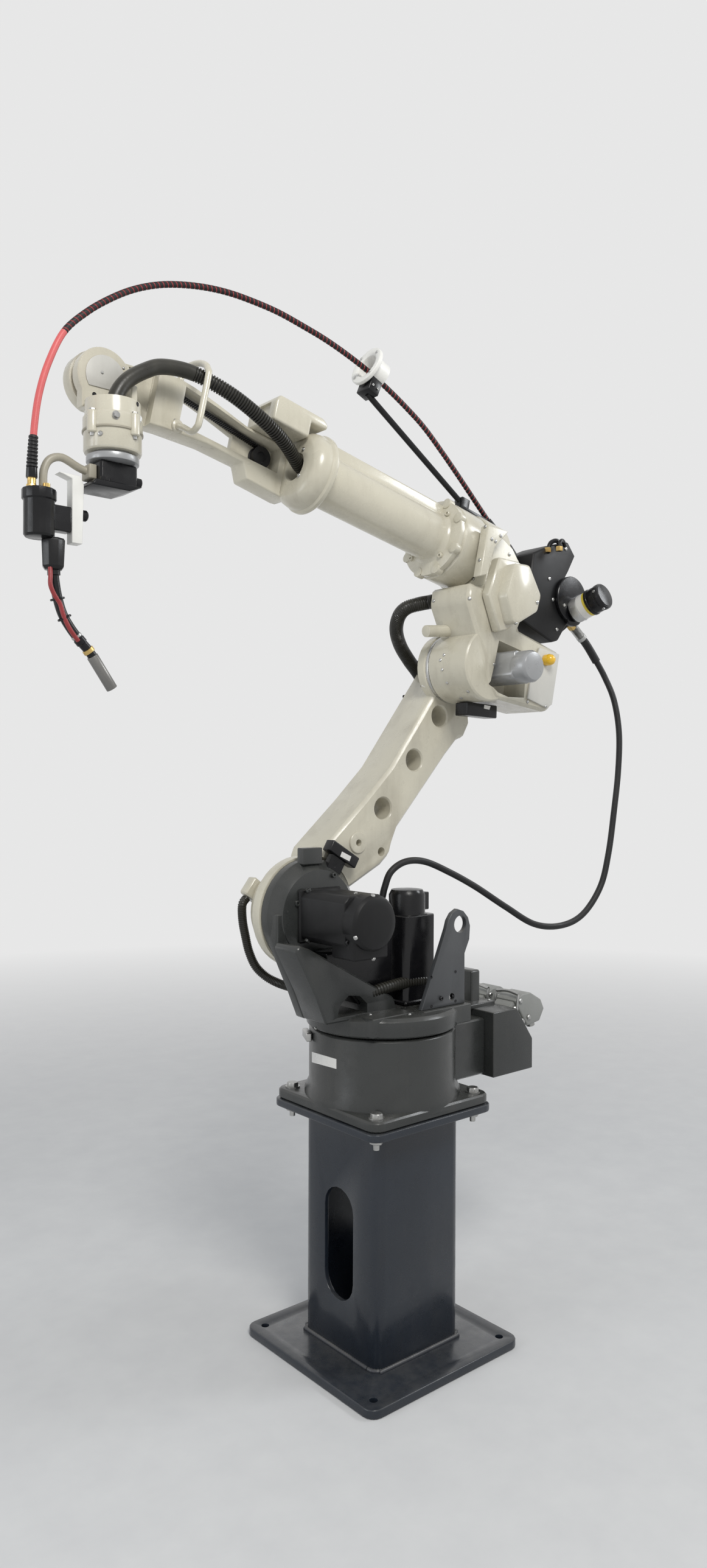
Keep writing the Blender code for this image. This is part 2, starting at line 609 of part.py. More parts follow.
def build_swivel(looks):
    floor = swivel_floor - pedestal_top
    top = swivel_top - pedestal_top
    spigot_low = base_top + touch_gap
    disc = lathe([(spigot_radius, spigot_low), (spigot_radius, floor), (swivel_radius - edge_round, floor),
                  (swivel_radius, floor + edge_round), (swivel_radius, top - edge_round * 2.0),
                  (swivel_radius - edge_round * 2.0, top)], "Z", swivel_frame, 56)
    barrel = lathe(barrel_profile(0.0), "Y", shoulder_frame, 48)
    web = prism(scaled(web_outline_share, shoulder_height), web_far, drum_near - fine_round, swivel_frame, edge_round)
    rib = prism(scaled(rib_outline_share, shoulder_height), drum_near - edge_round, rib_near, swivel_frame, edge_round)
    thickness = lifting_plate_thickness
    plate_side = swivel_radius * 0.68
    ledge = box((-swivel_radius * 0.84, plate_side - thickness, floor + edge_round),
                (swivel_radius * 0.02, plate_side + 2.0 * thickness, top + fine_round), swivel_frame, fine_round)
    pad = box((swivel_radius * 0.10, swivel_radius * 0.34, floor + edge_round),
              (swivel_radius * 0.80, swivel_radius * 0.72, top + fine_round), swivel_frame, fine_round)
    lug = box((-drum_radius * 0.13, arm_near + moving_gap, drum_radius * 0.9),
              (drum_radius * 0.30, drum_far + edge_round * 11.0, drum_radius * 1.20), shoulder_frame, fine_round)
    casting = joined(disc, web, barrel, rib, ledge, pad, lug)
    arch = prism(scaled(arch_outline_share, shoulder_height), web_far - rib_near, rib_near * 2.0, swivel_frame)
    finish(cut(casting, arch), "swivel_casting", looks["gray"], world_origin)

    start = drum_near + touch_gap
    half = shoulder_motor_side / 2.0
    body_end = start + shoulder_motor_length
    plate = box((-half, start, -half), (half, start + edge_round * 2.0, half), shoulder_frame, edge_round)
    body = prism(chamfered(half * 0.93, half * 0.22), start + edge_round, body_end, shoulder_frame, fine_round)
    cap = lathe([(shoulder_cap_radius, body_end - edge_round), (shoulder_cap_radius, body_end + shoulder_cap_length * 0.72),
                 (shoulder_cap_radius * 0.90, body_end + shoulder_cap_length * 0.90),
                 (shoulder_cap_radius * 0.66, body_end + shoulder_cap_length),
                 (0.0, body_end + shoulder_cap_length)], "Y", shoulder_frame, 36)
    chin = box((-half * 0.80, body_end - half * 0.9, -half * 1.30), (half * 0.80, body_end + shoulder_cap_length * 0.55, 0.0),
               shoulder_frame, edge_round)
    finish(joined(body, plate, cap, chin), "shoulder_motor", looks["black"], world_origin)

    spot = Vector((*swivel_motor_spot, swivel_top))
    stand = Matrix.Translation(spot)
    half = swivel_motor_side / 2.0
    plate = box((-half, -half, touch_gap), (half, half, edge_round * 3.0), stand, edge_round)
    body = turned_prism(chamfered(half * 0.94, half * 0.22), edge_round, swivel_motor_length, stand, fine_round)
    cap = lathe([(swivel_cap_radius, swivel_motor_length - edge_round),
                 (swivel_cap_radius, swivel_motor_length + swivel_cap_length * 0.75),
                 (swivel_cap_radius * 0.86, swivel_motor_length + swivel_cap_length * 0.95),
                 (0.0, swivel_motor_length + swivel_cap_length)], "Z", stand, 36)
    plug = box((-half * 1.12, -half * 0.25, swivel_motor_length + swivel_cap_length * 0.1),
               (0.0, half * 0.25, swivel_motor_length + swivel_cap_length * 0.8), stand, fine_round)
    finish(joined(body, plate, cap, plug), "swivel_motor", looks["black"], world_origin)

    lift = fine_round + touch_gap
    outline = scaled(lifting_outline_share, shoulder_height, top + lift - lifting_outline_share[0][1] * shoulder_height)
    lifter = prism(outline, plate_side, plate_side + thickness, swivel_frame, fine_round / 2.0)
    hole_x = lifting_hole_share[0] * shoulder_height
    hole_z = lifting_hole_share[1] * shoulder_height
    hole = drum(lifting_hole_radius, plate_side - thickness, plate_side + 2.0 * thickness, "Y", swivel_frame,
                (hole_x, 0.0, hole_z), sides=28)
    key = drum(lifting_hole_radius * 0.45, plate_side - thickness, plate_side + 2.0 * thickness, "Y", swivel_frame,
               (key_hole_share[0] * shoulder_height, 0.0, key_hole_share[1] * shoulder_height), sides=16)
    finish(cut(lifter, hole, key), "lifting_plate", looks["gray"], world_origin)

    switch_frame = shoulder_frame @ Matrix.Rotation(math.radians(switch_turn), 4, "Y")
    far = drum_far + edge_round * 5.0
    foot = box((-drum_radius * 0.14, far + fine_round, drum_face_radius),
               (drum_radius * 0.20, far + edge_round * 5.0, drum_radius * 1.16), switch_frame)
    foot = cut(foot, lathe(barrel_profile(touch_gap), "Y", shoulder_frame, 48))
    sensor = box((-drum_radius * 0.36, far, drum_radius * 1.12),
                 (drum_radius * 0.36, far + edge_round * 7.0, drum_radius * 1.34), switch_frame, fine_round)
    sensor = joined(foot, sensor)
    finish(sensor, "shoulder_switch", looks["black"], world_origin)


def chamfered(half, corner):
    # A square outline with its corners cut off
    return [(half - corner, -half), (half, -half + corner), (half, half - corner), (half - corner, half),
            (-half + corner, half), (-half, half - corner), (-half, -half + corner), (-half + corner, -half)]


def turned_prism(outline, low, high, placed, width):
    # A prism that stands along the frame's z
    upright = placed @ Matrix.Rotation(math.radians(90.0), 4, "X")
    return prism(outline, low, high, upright, width)


def build_lower_arm(looks):
    pivot = shoulder_point
    hub = lathe([(arm_hub_radius * 0.74, hub_far), (arm_hub_radius * 0.78, hub_far + edge_round),
                 (arm_hub_radius * 0.78, hub_ring_far), (arm_hub_radius - fine_round, hub_ring_far),
                 (arm_hub_radius, hub_ring_far + fine_round), (arm_hub_radius, drum_far - touch_gap)], "Y", arm_frame, 48)
    beam = prism(arm_outline(arm_outline_share), arm_far, arm_near, arm_frame, edge_round * 2.0, 1)
    relief = drum(drum_radius + moving_gap + fine_round, drum_far - touch_gap, drum_near, "Y", arm_frame, sides=48)
    seat = drum(arm_hub_radius * 0.70 + fine_round, arm_far - fine_round, hub_far, "Y", arm_frame, sides=40)
    beam = cut(beam, relief, seat)
    head = drum(elbow_hub_radius, arm_near - elbow_hub_depth, arm_near, "Y", arm_frame, (0.0, 0.0, lower_arm_length),
                edge=edge_round, sides=48)
    boss_spot = (arm_boss_share[1] * lower_arm_length, 0.0, arm_boss_share[0] * lower_arm_length)
    boss = drum(arm_hole_radius, arm_near - edge_round * 2.0, arm_near + edge_round, "Y", arm_frame, boss_spot,
                edge=fine_round, sides=28)
    casting = joined(beam, hub, head, boss)
    for along, forward in arm_hole_share:
        spot = (forward * lower_arm_length, 0.0, along * lower_arm_length)
        hole = lathe([(arm_hole_radius + edge_round * 1.5, arm_far - edge_round * 2.0),
                      (arm_hole_radius, arm_far + edge_round), (arm_hole_radius, arm_near - edge_round),
                      (arm_hole_radius + edge_round * 1.5, arm_near + edge_round * 0.8)], "Y", arm_frame, 28, spot)
        casting = cut(casting, hole)
    for (along, forward), radius in ((arm_boss_share, arm_hole_radius * 0.32), (arm_lug_share, arm_hole_radius * 0.42)):
        spot = (forward * lower_arm_length, 0.0, along * lower_arm_length)
        casting = cut(casting, drum(radius, arm_near - edge_round * 8.0, arm_near + edge_round * 4.0, "Y", arm_frame,
                                    spot, sides=16))
    finish(casting, "lower_arm", looks["cream"], pivot)
    ring = drum(reducer_radius, arm_near + touch_gap, elbow_far - touch_gap, "Y", arm_frame,
                (0.0, 0.0, lower_arm_length), sides=48)
    finish(ring, "elbow_reducer_ring", looks["steel"], pivot)
    cover = drum(arm_hub_radius * 0.70, hub_far - edge_round * 3.0, hub_far - touch_gap, "Y", arm_frame,
                 edge=fine_round, sides=40)
    guard = box((arm_hub_radius * 0.50, hub_far - arm_hub_radius * 0.22, -arm_hub_radius * 0.26),
                (arm_hub_radius * 0.90, hub_far - touch_gap, arm_hub_radius * 0.10), arm_frame, edge_round)
    finish(joined(cover, guard), "shoulder_cover", looks["cream"], pivot)


def build_elbow(looks):
    pivot = elbow_point
    length = elbow_offset
    body = prism(scaled(elbow_outline_share, length), elbow_far, elbow_near, elbow_frame, edge_round * 2.0, 1)
    hub = drum(elbow_drum_radius, elbow_far, elbow_near - edge_round, "Y", elbow_frame, edge=edge_round, sides=48)
    roll_front = tube_start - moving_gap
    bell = lathe([(roll_drum_radius * 0.55, -length * 0.34), (roll_drum_radius * 0.62, -length * 0.15),
                  (roll_drum_radius, -length * 0.02), (roll_drum_radius, roll_front - edge_round),
                  (roll_drum_radius - edge_round, roll_front)], "X", roll_frame, 56)
    stub_spot = Vector((stub_share[0] * length, 0.0, stub_share[1] * length))
    stub_way = Vector((math.cos(math.radians(stub_droop)), 0.0, -math.sin(math.radians(stub_droop))))
    stub = tube([stub_spot - stub_way * length * 0.20, stub_spot + stub_way * length * 0.27], length * 0.052,
                elbow_frame, 16)
    casting = joined(body, hub, bell, stub)
    pocket_floor = elbow_near - length * pocket_depth_share
    pocket = prism(scaled(pocket_outline_share, length), pocket_floor, elbow_near + length * 0.1, elbow_frame)
    finish(cut(casting, pocket), "elbow_casting", looks["cream"], pivot)

    motor_frame = elbow_frame @ Matrix.Translation(Vector((elbow_motor_share[0] * length, 0.0, elbow_motor_share[1] * length)))
    half = elbow_motor_side / 2.0
    body = prism(chamfered(half, half * 0.18), pocket_floor + touch_gap, elbow_motor_reach, motor_frame, fine_round / 2.0)
    cap = lathe([(elbow_cap_radius, elbow_motor_reach - edge_round), (elbow_cap_radius, elbow_motor_reach + elbow_cap_length * 0.70),
                 (elbow_cap_radius * 0.86, elbow_motor_reach + elbow_cap_length * 0.92),
                 (0.0, elbow_motor_reach + elbow_cap_length)], "Y", motor_frame, 36)
    finish(joined(body, cap), "elbow_motor", looks["silver"], pivot)

    near = elbow_near + touch_gap
    base = prism(scaled(side_cover_share, length), near, near + side_cover_height * 0.45, elbow_frame, edge_round)
    dome = prism(scaled(side_dome_share, length), near + side_cover_height * 0.3, near + side_cover_height, elbow_frame,
                 edge_round * 2.5, 2)
    finish(joined(base, dome), "elbow_side_cover", looks["cream"], pivot)
    junction = prism(scaled(junction_box_share, length), near, near + side_cover_height * 0.42, elbow_frame, fine_round)
    finish(junction, "elbow_junction_box", looks["light"], pivot)
    rear = prism(scaled(rear_plate_share, length), near, near + edge_round * 1.5, elbow_frame, fine_round / 2.0)
    finish(rear, "elbow_rear_plate", looks["light"], pivot)
    lamp_spot = (-0.66 * length, 0.0, 0.24 * length)
    face = near + edge_round * 1.5 + touch_gap
    lamp = lathe([(length * 0.052, face), (length * 0.052, face + length * 0.05), (length * 0.045, face + length * 0.075),
                  (length * 0.025, face + length * 0.095), (0.0, face + length * 0.10)], "Y", elbow_frame, 24, lamp_spot)
    finish(lamp, "status_lamp", looks["amber"], pivot)
    switch = prism(scaled(elbow_switch_share, length), 0.0, length * 0.155, elbow_frame, fine_round)
    finish(switch, "elbow_switch", looks["black"], pivot)

    feeder = prism(scaled(feeder_share, length), feeder_far, feeder_near, elbow_frame, edge_round)
    disc_spot = Vector((feed_disc_share[0] * length, 0.0, feed_disc_share[1] * length))
    first = elbow_frame.inverted() @ Vector(supply_hose_route[0])
    second = elbow_frame.inverted() @ Vector(supply_hose_route[1])
    back = (first - second).normalized()
    inlet = tube([Vector((-0.90 * length, first.y, 0.62 * length)), Vector((-1.00 * length, first.y, 0.62 * length)),
                  first + back * edge_round * 3.0, first + back * touch_gap * 4.0], length * 0.05, elbow_frame, 14)
    outlet = tube([feeder_outlet_local() + Vector((-0.37, 0.0, -0.21)) * length, feeder_outlet_local()], length * 0.05,
                  elbow_frame, 14)
    finish(joined(feeder, inlet, outlet), "wire_feeder", looks["black"], pivot)
    tilt = math.radians(feed_motor_tilt)
    start = disc_spot + Vector((0.0, feeder_near + touch_gap, 0.0))
    seat_end = edge_round * 3.0
    seat = drum(feed_disc_radius, touch_gap, seat_end, "Y", elbow_frame @ Matrix.Translation(start), edge=fine_round, sides=36)
    motor_spot = Vector((feed_motor_share[0] * length, feeder_near + touch_gap, feed_motor_share[1] * length))
    pad = drum(feed_motor_cap_radius, touch_gap, seat_end, "Y", elbow_frame @ Matrix.Translation(motor_spot), sides=28)
    lean_frame = elbow_frame @ Matrix.Translation(motor_spot) @ Matrix.Rotation(tilt, 4, "X")
    motor = lathe([(feed_motor_radius, feed_motor_radius * math.sin(tilt) + fine_round),
                   (feed_motor_radius, feed_motor_length * 0.58), (feed_motor_cap_radius, feed_motor_length * 0.60),
                   (feed_motor_cap_radius, feed_motor_length * 0.95),
                   (feed_motor_cap_radius * 0.90, feed_motor_length), (0.0, feed_motor_length)], "Y", lean_frame, 32)
    finish(joined(seat, pad, motor), "feed_motor", looks["black"], pivot)

    foot = Vector((rod_foot_share[0] * length, 0.0, rod_foot_share[1] * length))
    ring_way = Vector((math.cos(math.radians(guide_ring_turn)), 0.0, math.sin(math.radians(guide_ring_turn))))
    centre = guide_centre_local()
    clamp = Vector((centre.x + guide_ring_radius * ring_way.z, 0.0,
                    centre.z - guide_ring_radius * ring_way.x - guide_ring_bar - touch_gap))
    block_low = (clamp.x - guide_clamp_length / 2.0, -guide_clamp_width / 2.0, clamp.z - guide_clamp_height)
    block_high = (clamp.x + guide_clamp_length / 2.0, guide_clamp_width / 2.0, clamp.z)
    roof = length + roll_drum_radius
    pad = box((roll_front - length * 0.20, -length * 0.06, roof - length * 0.10),
              (foot.x + length * 0.05, length * 0.06, roof + guide_rod_radius * 1.6), elbow_frame, fine_round)
    pad = cut(pad, drum(roll_drum_radius + touch_gap, 0.0 - length, roll_front, "X", roll_frame, sides=56),
              drum(root_radius + moving_gap, roll_front - fine_round, length, "X", roll_frame, sides=40))
    post = box((foot.x - length * 0.05, -length * 0.05, roof + fine_round), (foot.x + length * 0.04, length * 0.05,
                                                                           foot.z + length * 0.09), elbow_frame, fine_round)
    rod = tube([foot + Vector((0.0, 0.0, length * 0.05)), clamp - Vector((0.0, 0.0, guide_clamp_height / 2.0))],
               guide_rod_radius, elbow_frame, 12)
    gap = Vector((touch_gap, touch_gap, touch_gap))
    rod = cut(rod, box(Vector(block_low) - gap, Vector(block_high) + gap, elbow_frame))
    finish(joined(pad, post, rod), "guide_rod", looks["black"], pivot)
    finish(box(block_low, block_high, elbow_frame, fine_round), "guide_clamp", looks["black"], pivot)
    hoop = ring_bar(guide_ring_radius, guide_ring_bar, elbow_frame, ring_way, centre, 32, 8)
    finish(hoop, "guide_ring", looks["white"], pivot)


def guide_centre_local():
    return elbow_frame.inverted() @ Vector((guide_centre_spot[0], 0.0, guide_centre_spot[1]))


def feeder_outlet_local():
    last = torch_cable_route[-1]
    return elbow_frame.inverted() @ Vector((last[0] - touch_gap * 3.0, 0.0, last[1] - touch_gap * 3.0))


def build_forearm(looks):
    pivot = roll_point
    root_end = tube_start + root_radius * 0.85
    flange_end = root_end + edge_round * 4.5
    shaft = lathe([(root_radius * 0.72, tube_start - moving_gap + touch_gap), (root_radius * 0.72, tube_start),
                   (root_radius, tube_start + touch_gap), (root_radius, root_end),
                   (flange_ring_radius + edge_round, root_end + fine_round), (flange_ring_radius + edge_round, flange_end),
                   (tube_radius + edge_round, flange_end + edge_round), (tube_radius, flange_end + edge_round * 3.0),
                   (tube_radius, tube_end - touch_gap)], "X", roll_frame, 56)
    rail = box((flange_end, -tube_radius * 0.36, tube_radius * 0.6), (tube_end - edge_round, tube_radius * 0.36, tube_radius + edge_round * 1.2),
               roll_frame, fine_round)
    finish(joined(shaft, rail), "forearm_tube", looks["cream"], pivot)

    ring = lathe([(ring_radius * 0.80, tube_end), (ring_radius * 0.93, tube_end + fine_round),
                  (ring_radius * 0.95, tube_end + edge_round * 2.0), (ring_radius * 0.985, tube_end + edge_round * 3.0),
                  (ring_radius, tube_end + edge_round * 6.0), (ring_radius * 0.985, ring_end - edge_round * 4.0),
                  (ring_radius * 0.90, ring_end - edge_round), (ring_radius * 0.80, ring_end)], "X", roll_frame, 56)
    beam = prism(scaled(beam_outline_share, forearm_length), beam_far, beam_near, roll_frame, edge_round * 1.5)
    window = prism(scaled(beam_window_share, forearm_length), beam_near - (beam_near - beam_far) * 0.45,
                   beam_near + edge_round * 4.0, roll_frame)
    mouth = drum(conduit_hole_radius, ring_end - mouth_depth, ring_end + edge_round * 4.0, "X", roll_frame,
                 (0.0, *mouth_spot), sides=32)
    casting = cut(joined(ring, beam), window, mouth)
    finish(casting, "forearm_casting", looks["cream"], pivot)
    deep = beam_near - (beam_near - beam_far) * 0.45
    panel = prism(scaled(beam_panel_share, forearm_length), deep + touch_gap, deep + fine_round, roll_frame)
    finish(panel, "forearm_panel", looks["light"], pivot)
    cover = prism(scaled(motor_cover_share, forearm_length), beam_near + touch_gap, ring_radius * 0.42, roll_frame,
                  edge_round * 1.5, 2)
    finish(cover, "wrist_motor_cover", looks["cream"], pivot)
    foot = (loop_foot_share[0] * forearm_length, loop_foot_share[1] * forearm_length)
    head = (loop_head_share[0] * forearm_length, loop_head_share[1] * forearm_length)
    start = beam_near + touch_gap
    bend = loop_reach * 0.22
    path = [(foot[0], start, foot[1]), (foot[0], start + loop_reach - bend, foot[1]),
            (foot[0], start + loop_reach - bend * 0.3, foot[1] + bend * 0.3), (foot[0], start + loop_reach, foot[1] + bend),
            (head[0], start + loop_reach, head[1] - bend), (head[0], start + loop_reach - bend * 0.3, head[1] - bend * 0.3),
            (head[0], start + loop_reach - bend, head[1]), (head[0], beam_far + edge_round, head[1]),
            (head[0], beam_far + edge_round, beam_top_at(head[0]) + touch_gap + loop_bar_radius)]
    loop = tube(path[:8], loop_bar_radius, roll_frame, 10)
    tab = box((head[0] - loop_bar_radius * 1.5, beam_far + edge_round - loop_bar_radius, beam_top_at(head[0]) + fine_round),
              (head[0] + loop_bar_radius * 1.5, beam_far + edge_round + loop_bar_radius * 2.0, head[1]), roll_frame)
    finish(joined(loop, tab), "cable_guard_loop", looks["cream"], pivot)
    tip = (forearm_length, 0.0, 0.0)
    cap = lathe([(beam_end_radius * 0.88, beam_far - touch_gap), (beam_end_radius * 0.84, beam_far - edge_round * 2.5),
                 (beam_end_radius * 0.55, beam_far - edge_round * 4.5), (0.0, beam_far - edge_round * 4.8)], "Y", roll_frame,
                36, tip)
    finish(cap, "wrist_end_cap", looks["cream"], pivot)


def beam_top_at(along):
    # The height of the beam's upper edge at a distance along the forearm
    table = [(x * forearm_length, z * forearm_length) for x, z in beam_outline_share[:4]]
    for (x0, z0), (x1, z1) in zip(table, table[1:]):
        if x0 <= along <= x1:
            return z0 + (z1 - z0) * (along - x0) / (x1 - x0)
    return table[-1][1]


def build_wrist(looks):
    pivot = wrist_point
    wall_far = beam_near + touch_gap
    wall_near = beam_near + wrist_radius * 0.60
    plate = drum(beam_end_radius * 0.96, wall_far + moving_gap, wall_near, "Y", wrist_frame, edge=fine_round, sides=40)
    pin = drum(beam_end_radius * 0.6, wall_far, wall_far + moving_gap * 2.0, "Y", wrist_frame, sides=32)
    skirt = box((-beam_end_radius * 0.80, wall_far + moving_gap, wrist_top - edge_round * 2.0), (beam_end_radius * 0.80, wall_near, 0.0),
                wrist_frame, fine_round)
    barrel = lathe([(wrist_radius, wrist_top - fine_round), (wrist_radius, wrist_top * 1.52), (wrist_flange_radius, wrist_top * 1.60),
                    (wrist_flange_radius, wrist_top * 1.95), (wrist_radius * 1.04, wrist_top * 2.06),
                    (wrist_radius * 1.04, wrist_bottom + edge_round), (wrist_radius, wrist_bottom)], "Z", wrist_frame, 48)
    rear_post = box((-wrist_radius * 1.06, wall_far + moving_gap * 2.0, wrist_top * 1.4), (-wrist_radius * 0.80, -wrist_radius * 0.10, wrist_top * 0.18),
                    wrist_frame, fine_round)
    casting = joined(barrel, plate, skirt, pin, rear_post)
    throat = drum(wrist_radius * 0.62, wrist_top * throat_floor_share, 0.0, "Z", wrist_frame, (0.0, wrist_radius * 0.12, 0.0), sides=28)
    finish(cut(casting, throat), "wrist_casting", looks["cream"], pivot)
    disc = drum(beam_end_radius * 0.70, wall_near + touch_gap, wall_near + fine_round, "Y", wrist_frame, sides=36)
    low = box((-beam_end_radius, wall_near - edge_round, wrist_top * 2.0), (beam_end_radius, wall_near + edge_round * 2.0, wrist_top * 0.40),
              wrist_frame)
    finish(cut(disc, low), "wrist_cover", looks["light"], pivot)


def build_tool(looks):
    pivot = wrist_point
    top = wrist_bottom - touch_gap
    flange = lathe([(tool_flange_radius * 0.80, top), (tool_flange_radius * 0.80, top - moving_gap),
                    (tool_flange_radius, top - moving_gap - touch_gap), (tool_flange_radius, top - edge_round * 4.5),
                    (tool_flange_radius * 0.7, top - edge_round * 5.0)], "Z", wrist_frame, 40)
    finish(flange, "tool_flange", looks["dark"], pivot)
    under = top - edge_round * 5.0 - touch_gap
    half = tool_flange_radius * 0.80
    floor = under - tool_flange_radius * 0.90
    sensor = box((-half * 0.95, -half * 0.75, floor), (half, half * 0.75, under), wrist_frame, edge_round)
    wedge = prism([(-half * 1.1, floor + edge_round), (half * 1.35, floor + edge_round),
                   (half * 1.55, floor - edge_round * 2.0), (-half * 0.4, floor - edge_round * 2.0)], -half, half, wrist_frame,
                  fine_round)
    finish(joined(sensor, wedge), "shock_sensor", looks["black"], pivot)
    arm_start = half + touch_gap
    mid = (under + floor) / 2.0
    path = smooth_route([(arm_start + edge_round, 0.0, mid), (torch_forward * 0.48, 0.0, mid + edge_round * 1.5),
                         (torch_forward * 0.70, 0.0, mid + edge_round * 4.5),
                         (torch_forward * 0.86, 0.0, mid + edge_round * 2.5), (torch_forward * 0.94, 0.0, mid - edge_round * 3.0),
                         (torch_forward * 0.95, 0.0, torch_top + edge_round * 2.0),
                         (torch_forward * 0.95, 0.0, torch_top + touch_gap)], 4)
    arm = tube(path, torch_radius * 0.27, wrist_frame, 12, 1.0)
    pad = box((arm_start, -torch_radius * 0.6, mid - torch_radius * 0.5), (arm_start + edge_round * 4.0, torch_radius * 0.6, mid + torch_radius * 0.5),
              wrist_frame, fine_round)
    finish(joined(arm, pad), "torch_bracket", looks["beige"], pivot)
    down = torch_top - torch_top_length
    body = lathe([(torch_radius * 0.90, down), (torch_radius, down + fine_round * 2.0), (torch_radius, torch_top - torch_radius * 0.7),
                  (torch_radius * 1.12, torch_top - torch_radius * 0.66), (torch_radius * 1.12, torch_top - fine_round),
                  (torch_radius * 0.95, torch_top)], "Z", wrist_frame, 20, (torch_forward, 0.0, 0.0))
    lower = lathe([(torch_radius * 0.66, down - torch_low_length), (torch_radius * 0.80, down - torch_low_length + fine_round * 2.0),
                   (torch_radius * 0.86, down - fine_round), (torch_radius * 0.7, down + fine_round)], "Z", wrist_frame, 12,
                  (torch_forward - torch_radius * 0.35, 0.0, 0.0))
    lug = box((torch_forward - torch_radius * 2.1, -torch_radius * 0.45, down + torch_top_length * 0.18),
              (torch_forward, torch_radius * 0.45, down + torch_top_length * 0.72), wrist_frame, fine_round)
    finish(joined(body, lower, lug), "torch_body", looks["black"], pivot)
    lug_end = torch_forward - torch_radius * 2.1
    strip = prism([(lug_end - touch_gap, down - fine_round), (lug_end - touch_gap, mid - edge_round * 5.0),
                   (lug_end + torch_radius * 0.9, mid + edge_round * 0.4 - torch_radius * 0.5),
                   (lug_end - torch_radius * 0.6, mid + edge_round * 0.4 - torch_radius * 0.5),
                   (lug_end - torch_radius * 0.85, mid - edge_round * 7.0), (lug_end - torch_radius * 0.75, down - fine_round)],
                  -torch_radius * 0.42, torch_radius * 0.42, wrist_frame, fine_round / 2.0)
    finish(strip, "torch_clamp_arm", looks["white"], pivot)
    start = Vector((torch_forward - torch_radius * 0.35, 0.0, down - torch_low_length - touch_gap * 4.0))
    tip = Vector((0.0, 0.0, tip_drop))
    bend = Vector((torch_forward * 0.46, 0.0, tip_drop + torch_forward * 0.66))
    way = (tip - bend).normalized()
    route = smooth_route([start, start - Vector((0.0, 0.0, edge_round * 5.0)),
                          start.lerp(bend, 0.45) + Vector((torch_radius * 0.55, 0.0, 0.0)),
                          bend, tip - way * nozzle_length() * 1.15, tip - way * nozzle_length()], 4)
    neck = tube(route, nozzle_radius * 0.95, wrist_frame, 14)
    finish(neck, "torch_neck", looks["black"], pivot)
    nozzle = tube([tip - way * (nozzle_length() - touch_gap), tip - way * nozzle_length() * 0.55,
                   tip - way * nozzle_length() * 0.50, tip - way * nozzle_length() * 0.12, tip], nozzle_radius, wrist_frame, 20)
    finish(nozzle, "torch_nozzle", looks["silver"], pivot)


def nozzle_length():
    return nozzle_radius * 6.6


def build_cables(looks):
    route = [Vector((x, 0.0, z)) for x, z in torch_cable_route]
    first = Vector((wrist_point.x + torch_forward + torch_radius * 0.5, 0.0, wrist_point.z + torch_top + touch_gap))
    route[0] = first
    route.insert(1, first + Vector((0.0, 0.0, edge_round * 4.0)))
    cable = tube(smooth_route(route, 2), torch_cable_radius, world, cable_sides)
    finish(cable, "torch_cable", looks["red"], world_origin)
    inside = [(x * forearm_length, conduit_side, z * forearm_length) for x, z in conduit_route_share]
    inside[0] = (ring_end - mouth_depth + 3.0 * touch_gap, inside[0][1], inside[0][2])
    route = [roll_frame @ Vector(point) for point in inside]
    for x, z in conduit_wrist_route:
        route.append(wrist_point + Vector((x, conduit_side * (1.0 + z / wrist_bottom * -1.0), z)))
    route.append(Vector((route[-1].x, route[-1].y, wrist_point.z + wrist_top * throat_floor_share + 4.0 * touch_gap)))
    hose = tube(smooth_route(route, 2), conduit_radius, world, cable_sides)
    finish(hose, "forearm_conduit", looks["rubber"], world_origin)
    local = [elbow_frame @ Vector(point) for point in elbow_hose_route]
    finish(tube(smooth_route(local, 2), elbow_hose_radius, world, cable_sides), "elbow_hose", looks["rubber"],
           world_origin)
    for points, radius, name in ((shoulder_hose_route, shoulder_hose_radius, "shoulder_hose"),
                                 (supply_hose_route, supply_hose_radius, "supply_hose")):
        hose = tube(smooth_route([Vector(point) for point in points], 2), radius, world, cable_sides)
        finish(hose, name, looks["rubber"], world_origin)


def main():
    clear_scene()
    looks = {
        "cream": material("cream_paint", (0.68, 0.65, 0.52), 0.35),
        "gray": material("gray_paint", (0.085, 0.082, 0.076), 0.35),
        "navy": material("navy_paint", (0.028, 0.034, 0.045), 0.42),
        "black": material("black_coat", (0.012, 0.012, 0.013), 0.35),
        "dark": material("dark_metal", (0.10, 0.10, 0.10), 0.4, 0.6),
        "steel": material("machined_steel", (0.42, 0.42, 0.41), 0.35, 0.9),
        "silver": material("cast_aluminium", (0.52, 0.52, 0.53), 0.33, 0.8),
        "light": material("light_gray_cover", (0.50, 0.50, 0.47), 0.45),
        "beige": material("beige_bracket", (0.40, 0.38, 0.32), 0.4, 0.3),
        "white": material("white_plastic", (0.80, 0.79, 0.74), 0.4),
        "amber": material("amber_lens", (0.75, 0.50, 0.02), 0.2),
        "red": material("red_rubber", (0.42, 0.05, 0.045), 0.5),
        "rubber": material("black_rubber", (0.02, 0.02, 0.02), 0.6),
    }
    build_pedestal(looks)
    build_base(looks)
    build_swivel(looks)
    build_lower_arm(looks)
    build_elbow(looks)
    build_forearm(looks)
    build_wrist(looks)
    build_tool(looks)
    build_cables(looks)


main()
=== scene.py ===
# Looks of the industrial robot arm: materials, cables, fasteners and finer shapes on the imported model.
import bisect
import collections
import json
import math

import bmesh
import bpy
from mathutils import Matrix, Vector
from mathutils.bvhtree import BVHTree

